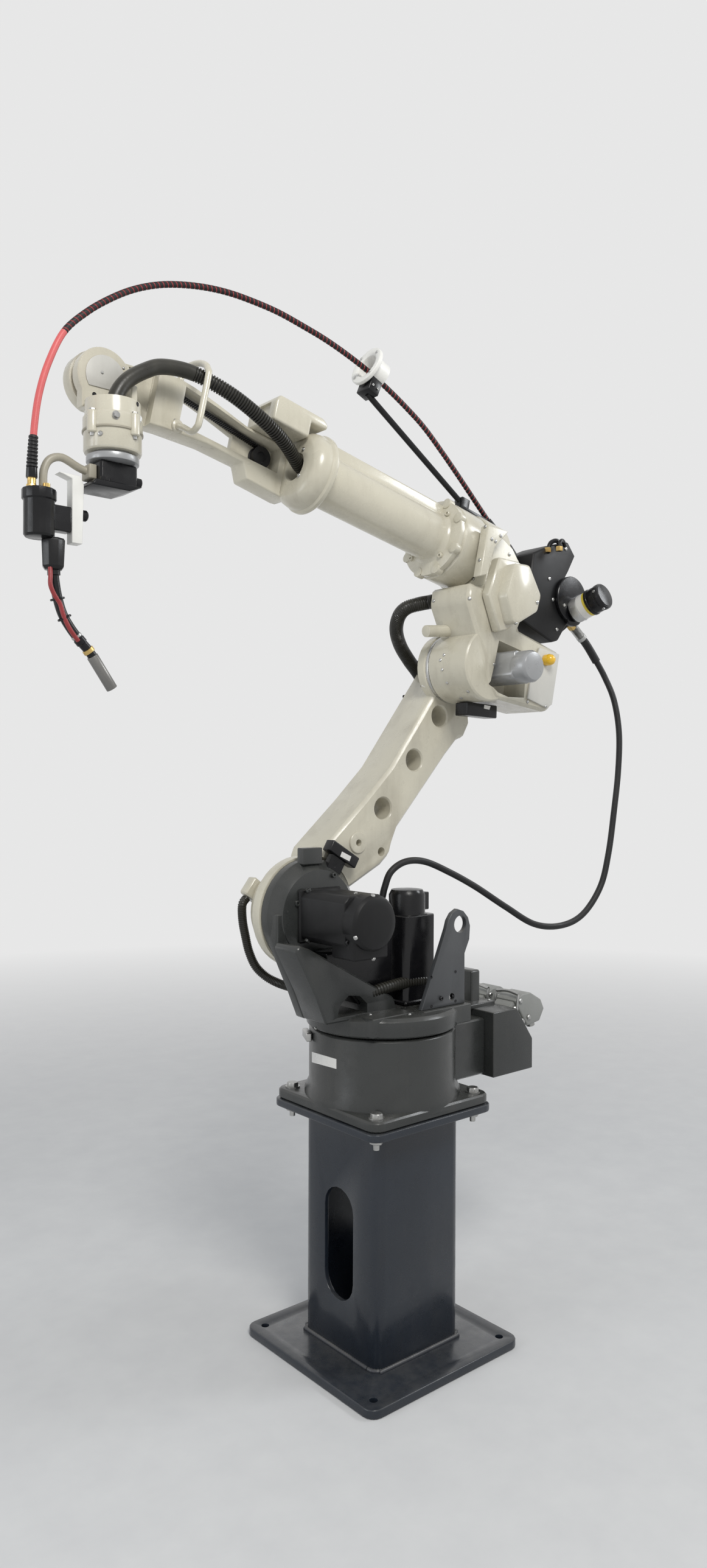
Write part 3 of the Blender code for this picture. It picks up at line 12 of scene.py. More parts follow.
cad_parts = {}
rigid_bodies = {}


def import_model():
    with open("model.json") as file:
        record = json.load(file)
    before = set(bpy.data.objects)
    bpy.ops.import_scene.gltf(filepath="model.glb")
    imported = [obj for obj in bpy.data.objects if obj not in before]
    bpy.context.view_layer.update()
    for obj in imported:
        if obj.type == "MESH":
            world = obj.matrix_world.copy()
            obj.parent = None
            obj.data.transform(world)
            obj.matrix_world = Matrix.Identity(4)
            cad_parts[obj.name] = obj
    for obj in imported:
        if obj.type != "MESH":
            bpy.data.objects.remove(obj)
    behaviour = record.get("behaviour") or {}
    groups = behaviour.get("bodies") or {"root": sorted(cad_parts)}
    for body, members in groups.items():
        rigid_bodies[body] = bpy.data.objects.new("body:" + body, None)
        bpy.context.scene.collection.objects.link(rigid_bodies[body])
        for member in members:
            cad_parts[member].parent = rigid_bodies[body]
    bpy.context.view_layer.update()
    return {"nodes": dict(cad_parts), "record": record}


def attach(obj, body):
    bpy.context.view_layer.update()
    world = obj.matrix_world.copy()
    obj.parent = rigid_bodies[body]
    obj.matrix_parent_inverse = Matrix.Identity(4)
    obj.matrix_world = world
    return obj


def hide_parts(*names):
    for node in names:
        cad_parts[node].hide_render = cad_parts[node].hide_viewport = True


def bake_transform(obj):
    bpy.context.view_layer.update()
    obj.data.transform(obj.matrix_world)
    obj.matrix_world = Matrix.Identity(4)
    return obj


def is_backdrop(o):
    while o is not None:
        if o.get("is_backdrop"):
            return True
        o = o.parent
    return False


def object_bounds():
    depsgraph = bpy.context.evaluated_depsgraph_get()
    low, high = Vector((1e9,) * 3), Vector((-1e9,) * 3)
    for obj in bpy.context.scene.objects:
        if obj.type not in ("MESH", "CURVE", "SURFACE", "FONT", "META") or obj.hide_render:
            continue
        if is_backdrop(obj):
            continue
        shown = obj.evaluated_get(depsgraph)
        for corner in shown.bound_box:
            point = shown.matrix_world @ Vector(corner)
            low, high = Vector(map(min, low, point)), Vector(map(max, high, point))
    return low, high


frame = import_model()
scene = bpy.context.scene
X, Y, Z = Vector((1, 0, 0)), Vector((0, 1, 0)), Vector((0, 0, 1))


def mm(*rows):
    """Rows of lengths in millimetres, as metres."""
    return [tuple(n / 1000 for n in row) for row in rows]


def at(x, y, z):
    """A point in millimetres, as metres."""
    return Vector((x / 1000, y / 1000, z / 1000))


def circle(radius, degrees):
    """The two coordinates of a point on a circle."""
    return radius * math.cos(math.radians(degrees)), radius * math.sin(math.radians(degrees))


# Places of the joints at rest
shoulder = at(186, 0, 1016)
lean = math.radians(-37.76)
arm_up = Vector((math.sin(lean), 0, math.cos(lean)))
arm_out = Vector((math.cos(lean), 0, -math.sin(lean)))
elbow = shoulder + arm_up * 0.737
pitch = math.radians(12.32)
fore_out = Vector((math.cos(pitch), 0, math.sin(pitch)))
fore_up = Vector((-math.sin(pitch), 0, math.cos(pitch)))
roll_centre = elbow + fore_up * 0.28
wrist = roll_centre + fore_out * 1.048


def placed(origin, out, up):
    m = Matrix.Identity(4)
    for row in range(3):
        m[row][0], m[row][1], m[row][2], m[row][3] = out[row], Y[row], up[row], origin[row]
    return m


WORLD = Matrix.Identity(4)
ARM = placed(shoulder, arm_out, arm_up)
ELBOW = placed(elbow, fore_out, fore_up)
ROLL = placed(roll_centre, fore_out, fore_up)
WRIST = Matrix.Translation(wrist)


# Camera: the photograph's place, turn and lens
turn, rise, tilt = math.radians(139.7822), math.radians(0.2834), math.radians(-0.217)
back = Vector((math.sin(turn) * math.cos(rise), -math.cos(turn) * math.cos(rise), math.sin(rise)))
right = Vector((math.cos(turn), math.sin(turn), 0))
over = back.cross(right)
across = right * math.cos(tilt) - over * math.sin(tilt)
upward = right * math.sin(tilt) + over * math.cos(tilt)
lens = bpy.data.cameras.new("camera")
lens.sensor_fit = "VERTICAL"
lens.sensor_height = 36
lens.lens = 1719.6 * 36 / 2576
lens.clip_end = 60
camera = bpy.data.objects.new("camera", lens)
scene.collection.objects.link(camera)
stand = Matrix.Identity(4)
for row in range(3):
    stand[row][0], stand[row][1], stand[row][2] = across[row], upward[row], back[row]
stand.translation = at(1641.2, 1832.8, 1319.9)
camera.matrix_world = stand
scene.camera = camera
scene.view_settings.view_transform = "Standard"


# Materials
def nodes_of(name):
    made = bpy.data.materials.new(name)
    made.use_nodes = True
    tree = made.node_tree
    tree.nodes.clear()
    return made, tree


def wire(tree, start, end):
    tree.links.new(start, end)


def add(tree, kind, **values):
    """A new shader node, with values on its sockets of those names."""
    made = tree.nodes.new("ShaderNode" + kind)
    for key, value in values.items():
        made.inputs[key.replace("_", " ")].default_value = value
    return made


def noise(tree, coord, scale, detail=4, rough=0.55, squeeze=(1, 1, 1)):
    spread = add(tree, "Mapping", Scale=squeeze)
    wire(tree, coord, spread.inputs["Vector"])
    made = add(tree, "TexNoise", Scale=scale, Detail=detail, Roughness=rough)
    wire(tree, spread.outputs["Vector"], made.inputs["Vector"])
    return made.outputs["Fac"]


def ranged(tree, value, low, high, to_low, to_high):
    made = add(tree, "MapRange", From_Min=low, From_Max=high, To_Min=to_low, To_Max=to_high)
    wire(tree, value, made.inputs["Value"])
    return made.outputs["Result"]


def times(tree, one, two, how="MULTIPLY"):
    made = add(tree, "Math")
    made.operation = how
    made.use_clamp = True
    wire(tree, one, made.inputs[0])
    if isinstance(two, (int, float)):
        made.inputs[1].default_value = two
    else:
        wire(tree, two, made.inputs[1])
    return made.outputs[0]


def blended(tree, share, one, two):
    made = add(tree, "Mix")
    made.data_type = "RGBA"
    wire(tree, share, made.inputs[0])
    for place, value in ((6, one), (7, two)):
        if isinstance(value, tuple):
            made.inputs[place].default_value = (*value, 1)
        else:
            wire(tree, value, made.inputs[place])
    return made.outputs[2]


def finish_of(name, colour, rough=0.45, metal=0, mottle=0.08, scale=5, grain=0.12, fine=420, grime=0.35, soil=None,
        dust=0, film=(0.42, 0.4, 0.36), chips=0, under=(0.3, 0.29, 0.27), brush=None, coat=0, spread=0.1, wave=0,
        shine=0.5):
    """A surface of one colour with the tone, grime, dust, chips, grain and gloss variation of a used one.

    soil, film and under are the colours of the grime, the dust and the chips; fine is the scale of the grain."""
    made, tree = nodes_of(name)
    out = add(tree, "OutputMaterial")
    shader = add(tree, "BsdfPrincipled")
    wire(tree, shader.outputs[0], out.inputs[0])
    coord = add(tree, "TexCoord")
    place = coord.outputs["Object"]
    tone = ranged(tree, noise(tree, place, scale, 5, 0.6), 0.3, 0.7, 0, 1)
    low = tuple(c * (1 - mottle) for c in colour)
    high = tuple(min(1, c * (1 + mottle)) for c in colour)
    paint = blended(tree, tone, low, high)
    if grime:
        dark = soil or tuple(c * 0.45 for c in colour)
        patch = noise(tree, place, 3.1, 8, 0.68)
        streak = noise(tree, place, 9, 6, 0.6, (2.2, 2.2, 0.35))
        share = times(tree, ranged(tree, times(tree, patch, streak), 0.24, 0.42, 0, 1), grime)
        paint = blended(tree, share, paint, dark)
    if chips:
        spot = ranged(tree, noise(tree, place, 48, 7, 0.7), 0.715, 0.73, 0, 1)
        near = ranged(tree, noise(tree, place, 6, 3, 0.5), 0.5, 0.56, 0, chips)
        paint = blended(tree, times(tree, spot, near), paint, under)
    if dust:
        split = add(tree, "SeparateXYZ")
        wire(tree, coord.outputs["Normal"], split.inputs[0])
        facing = ranged(tree, split.outputs["Z"], 0.35, 0.95, 0, dust)
        cloud = ranged(tree, noise(tree, place, 22, 8, 0.65), 0.36, 0.62, 0.25, 1)
        paint = blended(tree, times(tree, facing, cloud), paint, film)
    wire(tree, paint, shader.inputs["Base Color"])
    fleck = noise(tree, place, 30, 6, 0.6, brush or (1, 1, 1))
    wire(tree, ranged(tree, fleck, 0.3, 0.7, max(0.03, rough - spread), min(1, rough + spread)),
        shader.inputs["Roughness"])
    shader.inputs["Metallic"].default_value = metal
    shader.inputs["Specular IOR Level"].default_value = shine
    if coat:
        shader.inputs["Coat Weight"].default_value = coat
        shader.inputs["Coat Roughness"].default_value = 0.15
    bump = add(tree, "Bump", Strength=grain, Distance=0.0006)
    wire(tree, noise(tree, place, fine, 3, 0.5, brush or (1, 1, 1)), bump.inputs["Height"])
    last = bump
    if wave:
        slow = add(tree, "Bump", Strength=wave, Distance=0.002)
        wire(tree, noise(tree, place, 38, 5, 0.6), slow.inputs["Height"])
        wire(tree, bump.outputs[0], slow.inputs["Normal"])
        last = slow
    wire(tree, last.outputs[0], shader.inputs["Normal"])
    return made


look = {
    "cream": finish_of("cream_enamel", (0.565, 0.535, 0.435), 0.27, mottle=0.05, grime=0.3, dust=0.22, soil=(0.3,
        0.265, 0.2), chips=0.8, under=(0.16, 0.15, 0.13), wave=0.1, coat=0.45, spread=0.07),
    "cream_cast": finish_of("cream_cast", (0.555, 0.525, 0.425), 0.32, mottle=0.07, grime=0.42, dust=0.3,
        soil=(0.27, 0.235, 0.175), chips=0.9, under=(0.16, 0.15, 0.13), wave=0.24, grain=0.2, coat=0.35),
    "dark": finish_of("charcoal_enamel", (0.03, 0.032, 0.031), 0.3, mottle=0.14, grime=0.22, dust=0.14, shine=0.4,
        soil=(0.085, 0.08, 0.072), film=(0.2, 0.19, 0.17), chips=0.9, under=(0.26, 0.25, 0.23), wave=0.18,
        coat=0.2),
    "plate": finish_of("plate_enamel", (0.06, 0.063, 0.067), 0.36, mottle=0.1, grime=0.22, dust=0.2, soil=(0.1,
        0.098, 0.09), chips=1, wave=0.12),
    "navy": finish_of("navy_enamel", (0.014, 0.019, 0.028), 0.3, mottle=0.16, grime=0.2, dust=0.18, shine=0.4,
        soil=(0.05, 0.05, 0.05), film=(0.2, 0.19, 0.17), chips=1, under=(0.16, 0.1, 0.06), wave=0.16, coat=0.3),
    "black": finish_of("black_coat", (0.006, 0.006, 0.007), 0.24, mottle=0.2, grime=0.15, dust=0.04, shine=0.32,
        soil=(0.035, 0.034, 0.032), film=(0.12, 0.115, 0.105), chips=0.6, under=(0.2, 0.2, 0.19), wave=0.1),
    "motor": finish_of("silver_motor_paint", (0.33, 0.335, 0.34), 0.34, 0.3, mottle=0.06, grime=0.25, dust=0.1,
        soil=(0.16, 0.16, 0.155), grain=0.2, wave=0.1, coat=0.2),
    "hood": finish_of("hood_casting", (0.27, 0.275, 0.262), 0.42, dust=0.12, soil=(0.17, 0.165, 0.15), grain=0.35,
        fine=260, wave=0.15),
    "matte": finish_of("matte_black", (0.008, 0.008, 0.0085), 0.44, mottle=0.2, grime=0.15, dust=0.04, shine=0.25,
        soil=(0.035, 0.034, 0.032), film=(0.12, 0.115, 0.105), wave=0.1, spread=0.05),
    "alu": finish_of("cast_aluminium", (0.55, 0.55, 0.54), 0.42, 0.9, dust=0.1, soil=(0.2, 0.19, 0.18), grain=0.35,
        fine=260, wave=0.2),
    "steel": finish_of("turned_steel", (0.5, 0.5, 0.49), 0.3, 1, mottle=0.06, grime=0.3, soil=(0.2, 0.18, 0.15),
        grain=0.25, fine=160, brush=(0.15, 0.15, 5)),
    "zinc": finish_of("zinc_bolts", (0.43, 0.43, 0.42), 0.33, 1, mottle=0.15, scale=40, soil=(0.22, 0.2, 0.17),
        grain=0.2, fine=500),
    "oxide": finish_of("black_oxide", (0.03, 0.03, 0.032), 0.4, 0.6, mottle=0.2, scale=40, grime=0.2, grain=0.2,
        fine=500),
    "brass": finish_of("brass", (0.6, 0.42, 0.16), 0.3, 1, mottle=0.12, scale=40, soil=(0.25, 0.17, 0.08),
        grain=0.2, fine=400),
    "light": finish_of("pale_cover", (0.55, 0.54, 0.5), 0.38, mottle=0.05, grime=0.2, dust=0.15, wave=0.1),
    "amber": finish_of("amber_lens", (0.78, 0.46, 0.015), 0.16, mottle=0.1, grime=0.15, grain=0.05, coat=0.6),
    "white": finish_of("white_plastic", (0.78, 0.775, 0.74), 0.42, mottle=0.04, grime=0.18, dust=0.1, grain=0.2,
        fine=300),
    "label": finish_of("bare_label", (0.74, 0.73, 0.7), 0.3, mottle=0.04, grime=0.25, grain=0.05),
    "beige": finish_of("bracket_paint", (0.34, 0.315, 0.25), 0.42, dust=0.2, soil=(0.16, 0.14, 0.1), chips=0.7,
        wave=0.15),
    "gunmetal": finish_of("gunmetal", (0.2, 0.195, 0.185), 0.38, 0.7, mottle=0.1, grime=0.3, grain=0.3, fine=240),
    "rubber": finish_of("black_rubber", (0.012, 0.012, 0.013), 0.48, mottle=0.2, grime=0.3, dust=0.18, shine=0.35,
        soil=(0.045, 0.043, 0.04), film=(0.13, 0.125, 0.115), grain=0.35, fine=600, wave=0.1),
    "conduit": finish_of("conduit_plastic", (0.02, 0.019, 0.015), 0.32, mottle=0.2, grime=0.3, dust=0.2, shine=0.4,
        soil=(0.06, 0.055, 0.045), film=(0.16, 0.15, 0.12), grain=0.15, fine=500),
    "sleeve": finish_of("smooth_sleeve", (0.026, 0.025, 0.02), 0.34, mottle=0.2, grime=0.3, dust=0.22, shine=0.4,
        soil=(0.07, 0.066, 0.052), film=(0.17, 0.16, 0.13), grain=0.3, fine=300, wave=0.25),
    "red": finish_of("red_hose", (0.27, 0.026, 0.028), 0.42, mottle=0.1, grime=0.25, soil=(0.2, 0.03, 0.03),
        grain=0.25, fine=500),
    "pink": finish_of("worn_red_hose", (0.62, 0.115, 0.115), 0.45, mottle=0.1, grime=0.2, soil=(0.3, 0.06, 0.06),
        grain=0.25, fine=500),
    "yellow": finish_of("yellow_band", (0.66, 0.52, 0.06), 0.4, mottle=0.06, grime=0.2, grain=0.1),
    "seam": finish_of("weld_bead", (0.035, 0.038, 0.046), 0.36, mottle=0.2, grime=0.3, grain=0.5, fine=120,
        wave=0.5, dust=0.4, film=(0.2, 0.19, 0.17)),
}


carrier = {node: body for body, nodes in frame["record"]["behaviour"]["bodies"].items() for node in nodes}


# Shapes
def linked(name, build, mats):
    mesh = bpy.data.meshes.new(name)
    build.to_mesh(mesh)
    build.free()
    made = bpy.data.objects.new(name, mesh)
    scene.collection.objects.link(made)
    for mat in mats:
        mesh.materials.append(look[mat])
    return made


def smooth(obj, angle=32):
    for face in obj.data.polygons:
        face.use_smooth = True
    obj.data.set_sharp_from_angle(angle=math.radians(angle))
    return obj


def rounded(obj, width, angle=35):
    """Welds and merges the faces of a solid, rounds its sharp edges and shades it smooth."""
    build = bmesh.new()
    build.from_mesh(obj.data)
    bmesh.ops.remove_doubles(build, verts=build.verts, dist=2e-5)
    bmesh.ops.dissolve_limit(build, angle_limit=0.02, verts=build.verts, edges=build.edges)
    build.to_mesh(obj.data)
    build.free()
    if width:
        bevel = obj.modifiers.new("round", "BEVEL")
        bevel.width, bevel.segments, bevel.limit_method = width, 2, "ANGLE"
        bevel.angle_limit = math.radians(angle)
        bevel.use_clamp_overlap = True
        bevel.miter_outer = "MITER_ARC"
        obj.data = fresh(obj)
    return smooth(obj)


def fresh(obj):
    bpy.context.view_layer.update()
    settled = bpy.data.meshes.new_from_object(obj.evaluated_get(bpy.context.evaluated_depsgraph_get()))
    obj.modifiers.clear()
    settled.name = obj.name
    return settled


def finished(name, build, mats, body, angle=40, nodes=()):
    """A built mesh as a smooth piece on its body, with its looks and the nodes that it stands for."""
    made = linked(name, build, mats)
    smooth(made, angle)
    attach(made, body)
    if nodes:
        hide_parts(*nodes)
    return made


def skin(node, mat, width, slot=None):
    """A copy of a rigid CAD node that stands for it, smooth, with edges rounded by a width in millimetres."""
    mesh = frame["nodes"][node].data.copy()
    mesh.materials.clear()
    mesh.materials.append(look[mat])
    made = bpy.data.objects.new("skin_" + node, mesh)
    scene.collection.objects.link(made)
    made.data.name = made.name
    rounded(made, width / 1000)
    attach(made, carrier[node])
    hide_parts(node)


def ringed(points):
    """The frames of a path that turn as little as they can."""
    frames, side = [], None
    for n, spot in enumerate(points):
        ahead = (points[min(n + 1, len(points) - 1)] - points[max(n - 1, 0)]).normalized()
        if side is None:
            side = ahead.orthogonal().normalized() if abs(ahead.y) > 0.9 else (Y - ahead * ahead.y).normalized()
        else:
            side = (side - ahead * side.dot(ahead)).normalized()
        frames.append((spot, side, ahead.cross(side)))
    return frames


def inside(m, points):
    """Points of a frame as points of the world."""
    return [m @ Vector(p) for p in points]


def smooth_route(points, pieces):
    points = [Vector(p) for p in points]
    ends = [points[0] * 2 - points[1]] + points + [points[-1] * 2 - points[-2]]
    route = []
    for n in range(1, len(ends) - 2):
        a, b, c, d = ends[n - 1], ends[n], ends[n + 1], ends[n + 2]
        for step in range(pieces):
            t = step / pieces
            route.append(0.5 * (2 * b + (c - a) * t + (2 * a - 5 * b + 4 * c - d) * t * t + (3 * b - a - 3 * c + d)
                * t ** 3))
    route.append(points[-1])
    return route


class Path:
    """A dense route that is read by the distance along it."""

    def __init__(self, points, pieces=12, relax=0):
        self.points = smooth_route(points, pieces)
        for _ in range(relax):
            old = self.points
            self.points = [old[0], old[1]] + [(old[n - 1] + old[n] * 2 + old[n + 1]) / 4 for n in range(2, len(old)
                - 2)] + [old[-2], old[-1]]
        self.marks = [0]
        for a, b in zip(self.points, self.points[1:]):
            self.marks.append(self.marks[-1] + (b - a).length)
        self.length = self.marks[-1]

    def at(self, s):
        s = min(max(s, 0), self.length)
        high = min(bisect.bisect_right(self.marks, s), len(self.marks) - 1)
        low = high - 1
        gap = self.marks[high] - self.marks[low]
        return self.points[low].lerp(self.points[high], (s - self.marks[low]) / gap if gap else 0)

    def near(self, spot):
        spot = Vector(spot)
        best = min(range(len(self.points)), key=lambda n: (self.points[n] - spot).length)
        return self.marks[best]

    def line(self, start, end, count):
        return [self.at(start + (end - start) * n / (count - 1)) for n in range(count)]


def sweep(build, path, stations, sides=16, mat=0, band=None, twist=0):
    """A tube along a path; stations are (distance, radius). band gives sides of another look and height."""
    frames = ringed([path.at(s) for s, _ in stations])
    rings = []
    for (s, radius), (spot, one, two) in zip(stations, frames):
        ring = []
        for k in range(sides):
            angle = math.tau * k / sides + twist * s
            grown = radius + (band[2] if band and k < band[0] + 1 else 0)
            ring.append(build.verts.new(spot + one * (grown * math.cos(angle)) + two * (grown * math.sin(angle))))
        rings.append(ring)
    for low, high in zip(rings, rings[1:]):
        for k in range(sides):
            after = (k + 1) % sides
            face = build.faces.new((low[k], low[after], high[after], high[k]))
            face.material_index = band[1] if band and k < band[0] else mat
    for ring in (rings[0][::-1], rings[-1]):
        build.faces.new(ring).material_index = mat


def even(start, end, radius, step):
    count = max(2, int(round((end - start) / step)) + 1)
    return [(start + (end - start) * n / (count - 1), radius) for n in range(count)]


def ribs(start, end, crest, root, pitch):
    """Stations of a corrugated stretch."""
    made = []
    count = max(1, int(round((end - start) / pitch)))
    gap = (end - start) / count
    for n in range(count):
        s = start + n * gap
        made += [(s, root), (s + gap * 0.22, root), (s + gap * 0.36, crest), (s + gap * 0.84, crest)]
    made.append((end, root))
    return made


def cord_piece(name, path, start, end, stations, bodies, mats, nodes, sides=16, band=None,
        twist=0):
    """One length of a cord; a last run of stations carries the wrap."""
    build = bmesh.new()
    runs = stations if isinstance(stations[0], list) else [stations]
    for n, run in enumerate(runs):
        wrapped = band and n == len(runs) - 1
        sweep(build, path, run, sides, 2 if n else 0, band if wrapped else None, twist if wrapped else 0)
    made = linked(name, build, mats)
    smooth(made, 50)
    line = path.line(start, end, 60)
    if len(bodies) == 2:
        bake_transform(made)
    else:
        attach(made, bodies[0])
    if nodes:
        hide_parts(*nodes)
    return made


# Cords, by their routes in metres
torch_route = mm((860, 0, 1846.3), (860, 0, 1862.3), (859, 0, 1900), (855, 0, 1962), (846, 0, 2022), (828, 0, 2083),
    (798, 0, 2147), (753, 0, 2196), (704, 0, 2236), (655, 0, 2268), (602, 0, 2293), (548, 0, 2310), (490, 0, 2322),
    (432, 0, 2328), (370, 0, 2328), (308, 0, 2324), (245, 0, 2314), (178, 0, 2301), (112, 0, 2283), (50, 0, 2262),
    (-10, 0, 2236), (-70, 0, 2206), (-130, 0, 2171), (-195, 0, 2121), (-260, 0, 2067), (-318, 0, 2017), (-376, 0,
    1968), (-428, 0, 1926))
cable = Path(torch_route)
marks = [0, cable.near((0.828, 0, 2.083)), cable.near((0.34, 0, 2.327)), cable.length]
bare_end = cable.near((0.798, 0, 2.147))


def wound(start, end):
    return even(start, end, 0.0056, 0.0013)


cord_piece("torch_hose_low", cable, marks[0], marks[1], even(marks[0], marks[1], 0.0064, 0.004), ("tool",
    "wrist"), ["pink", "rubber"], ["torch_cable"])
cord_piece("torch_hose_middle", cable, marks[1], marks[2], [even(marks[1], bare_end, 0.0064, 0.004), wound(bare_end,
    marks[2])], ("wrist", "forearm"), ["pink", "rubber", "red"], ["torch_cable"], band=(12, 1, 0.0008), twist=math.tau / 0.0105)
cord_piece("torch_hose_rear", cable, marks[2], marks[3], wound(marks[2], marks[3]), ("forearm", "elbow"),
    ["red", "rubber"], ["torch_cable"], band=(12, 1, 0.0008), twist=math.tau /
    0.0105)

ring_end, reach, ring_radius = 0.603, 0.445, 0.089
conduit_points = inside(ROLL, mm((558.9, 0, 0), (583, 1, 2), (603, 5, 8), (650, 28, 24), (705, 40, 35), (757, 40,
    49), (809, 37, 60.5), (848, 28, 67), (882.5, 15, 74), (917, 10, 71), (965, 6.4, 54.5)))
conduit_points += inside(WRIST, mm((-76, 6.4, 24), (-44, 6.4, 6), (-18, 6.4, -18), (-2, 6.4, -45), (3, 6.4, -70),
    (3, 6.4, -82.9)))
conduit = Path(conduit_points, 12, 90)
to_sleeve = conduit.near(ROLL @ at(888, 14, 74))
build_stations = ribs(0, to_sleeve, 0.015, 0.0122, 0.006) + even(to_sleeve + 0.001, conduit.length, 0.0152, 0.006)
conduit_piece = cord_piece("forearm_conduit_cord", conduit, 0, conduit.length, build_stations, ("forearm",
    "wrist"), ["conduit", "sleeve", "rubber"], ["forearm_conduit"], sides=22)
for face in conduit_piece.data.polygons:
    if (face.center - roll_centre).dot(fore_out) > 0.8885:
        face.material_index = 1
    elif min((face.center - p).length for p in conduit.points[::2]) < 0.0131:
        face.material_index = 2

elbow_hose_points = inside(ELBOW, mm((94, -37.1, 150), (94, -48, 150), (94, -61, 150), (118, -70, 138), (137, -92,
    124), (135, -117, 106), (108, -150, 82), (62, -178, 58), (10, -193, 34), (-44, -199, 6), (-80, -196, -40),
    (-115, -190, -100), (-155, -181.9, -170)))
hose = Path(elbow_hose_points)
cord_piece("elbow_hose_cord", hose, 0, hose.length, ribs(0, hose.length, 0.0178, 0.0166, 0.0042), ("elbow",
    "lower_link"), ["conduit"], ["elbow_hose"], sides=22)

shoulder_hose_points = mm((283.3, -150, 1047.2), (295.1, -150, 1032), (290, -156, 995), (280, -158, 955), (272,
    -156, 922), (258, -150, 888), (238, -138, 864), (222, -116, 851), (214, -85, 846), (212.5, -39.3, 845))
hose = Path(shoulder_hose_points)
cord_piece("shoulder_hose_cord", hose, 0, hose.length, ribs(0, hose.length, 0.0102, 0.0088, 0.0045),
    ("lower_link", "swivel"), ["conduit"], ["shoulder_hose"], sides=16)

supply_points = mm((-655, 30, 1747), (-687, 30, 1724), (-723, 32, 1696), (-754, 40, 1655), (-778, 55, 1606), (-790,
    78, 1540), (-790, 95, 1450), (-780, 100, 1345), (-762, 100, 1235), (-738, 100, 1120), (-705, 98, 1030), (-640,
    90, 960), (-560, 80, 935), (-470, 65, 945), (-380, 45, 995), (-290, 25, 1050), (-210, 12, 1090), (-137, 0,
    1119), (-80, -8, 1121), (-42, -18, 1098), (-27, -24, 1060), (-20, -26, 1034), (-2, -26, 1018), (22, -25, 1010),
    (48, -25, 1006))
supply = Path(supply_points)
middle = supply.near((-0.762, 0.1, 1.235))
cord_piece("supply_hose_upper", supply, 0, middle, even(0, 0.145, 0.0112, 0.004) + even(0.146, middle, 0.0082,
    0.006), ("elbow", "lower_link"), ["rubber"], ["supply_hose"],
    sides=18)
cord_piece("supply_hose_lower", supply, middle, supply.length, even(middle, supply.length, 0.0082, 0.006),
    ("lower_link", "swivel"), ["rubber"], ["supply_hose"], sides=18)


# Solids for the pieces that replace CAD nodes
def solid(build, m):
    bmesh.ops.remove_doubles(build, verts=build.verts, dist=1e-6)
    bmesh.ops.transform(build, matrix=m, verts=build.verts)
    bmesh.ops.recalc_face_normals(build, faces=build.faces)
    return linked("shape", build, [])


def prism(outline, start, end, m, width=0, steps=2):
    """Extrudes an outline of the frame's x-z plane from start to end along its y."""
    build = bmesh.new()
    face = build.faces.new([build.verts.new((x, start, z)) for x, z in outline])
    grown = bmesh.ops.extrude_face_region(build, geom=[face])
    moved = [v for v in grown["geom"] if isinstance(v, bmesh.types.BMVert)]
    bmesh.ops.translate(build, vec=(0, end - start, 0), verts=moved)
    bmesh.ops.recalc_face_normals(build, faces=build.faces)
    if width:
        sharp = [e for e in build.edges if len(e.link_faces) == 2 and e.calc_face_angle(0) > 0.5]
        bmesh.ops.bevel(build, geom=sharp, offset=width, segments=steps, profile=0.5, affect="EDGES",
            clamp_overlap=True)
    return solid(build, m)


def block(low, high, m, width=0, steps=2):
    return prism([(low[0], low[2]), (high[0], low[2]), (high[0], high[2]), (low[0], high[2])], low[1], high[1], m,
        width, steps)


def turned(profile, axis, m, sides=48, centre=(0, 0, 0)):
    """Turns a profile of (radius, height) round an axis of the frame."""
    build = bmesh.new()
    lathe_into(build, profile, Vector(centre), {"X": X, "Y": Y, "Z": Z}[axis], sides)
    return solid(build, m)


def lathe_into(build, profile, centre, along, sides=24, mat=0, hexed=(), spin=0):
    """Adds a turned shape round a centre; the rings that hexed names have six flats."""
    one = along.orthogonal().normalized()
    two = along.cross(one)
    closed = profile[0] == profile[-1]
    rings = []
    for n, (radius, height) in enumerate(profile[:-1] if closed else profile):
        spot = centre + along * height
        if radius == 0:
            rings.append([build.verts.new(spot)])
            continue
        ring = []
        for k in range(sides):
            angle = math.tau * k / sides
            grown = radius
            if n in hexed:
                grown = radius * math.cos(math.pi / 6) / math.cos((angle % (math.pi / 3)) - math.pi / 6)
            ring.append(build.verts.new(spot + one * (grown * math.cos(angle + spin)) + two * (grown *
                math.sin(angle + spin))))
        rings.append(ring)
    if closed:
        rings.append(rings[0])
    for low, high in zip(rings, rings[1:]):
        for k in range(sides):
            after = (k + 1) % sides
            if len(low) == 1 and len(high) == 1:
                continue
            if len(low) == 1:
                face = build.faces.new((low[0], high[after], high[k]))
            elif len(high) == 1:
                face = build.faces.new((low[k], low[after], high[0]))
            else:
                face = build.faces.new((low[k], low[after], high[after], high[k]))
            face.material_index = mat
    for ring in (rings[0][::-1], rings[-1]):
        if len(ring) > 1 and not closed:
            build.faces.new(ring).material_index = mat


def drum(radius, low, high, axis, m, centre=(0, 0, 0), sides=48):
    return turned([(radius, low), (radius, high)], axis, m, sides, centre)


def combine(base, other, how):
    change = base.modifiers.new("combine", "BOOLEAN")
    change.operation, change.solver, change.object = how, "EXACT", other
    base.data = fresh(base)
    bpy.data.objects.remove(other, do_unlink=True)
    return base


def joined(*shapes):
    base = shapes[0]
    for other in shapes[1:]:
        base = combine(base, other, "UNION")
    return base


def cut(base, *others):
    for other in others:
        base = combine(base, other, "DIFFERENCE")
    return base


def piece(made, name, body, mats, nodes=(), width=0.0012, angle=35):
    """Names a built shape, gives it its looks and fixes it to its body."""
    made.name = name
    made.data.materials.clear()
    for mat in mats:
        made.data.materials.append(look[mat])
    if width is not None:
        rounded(made, width, angle)
    made.data.name = name
    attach(made, body)
    if nodes:
        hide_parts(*nodes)


def from_ring(shares):
    return [(ring_end + x * reach, z * ring_radius) for x, z in shares]


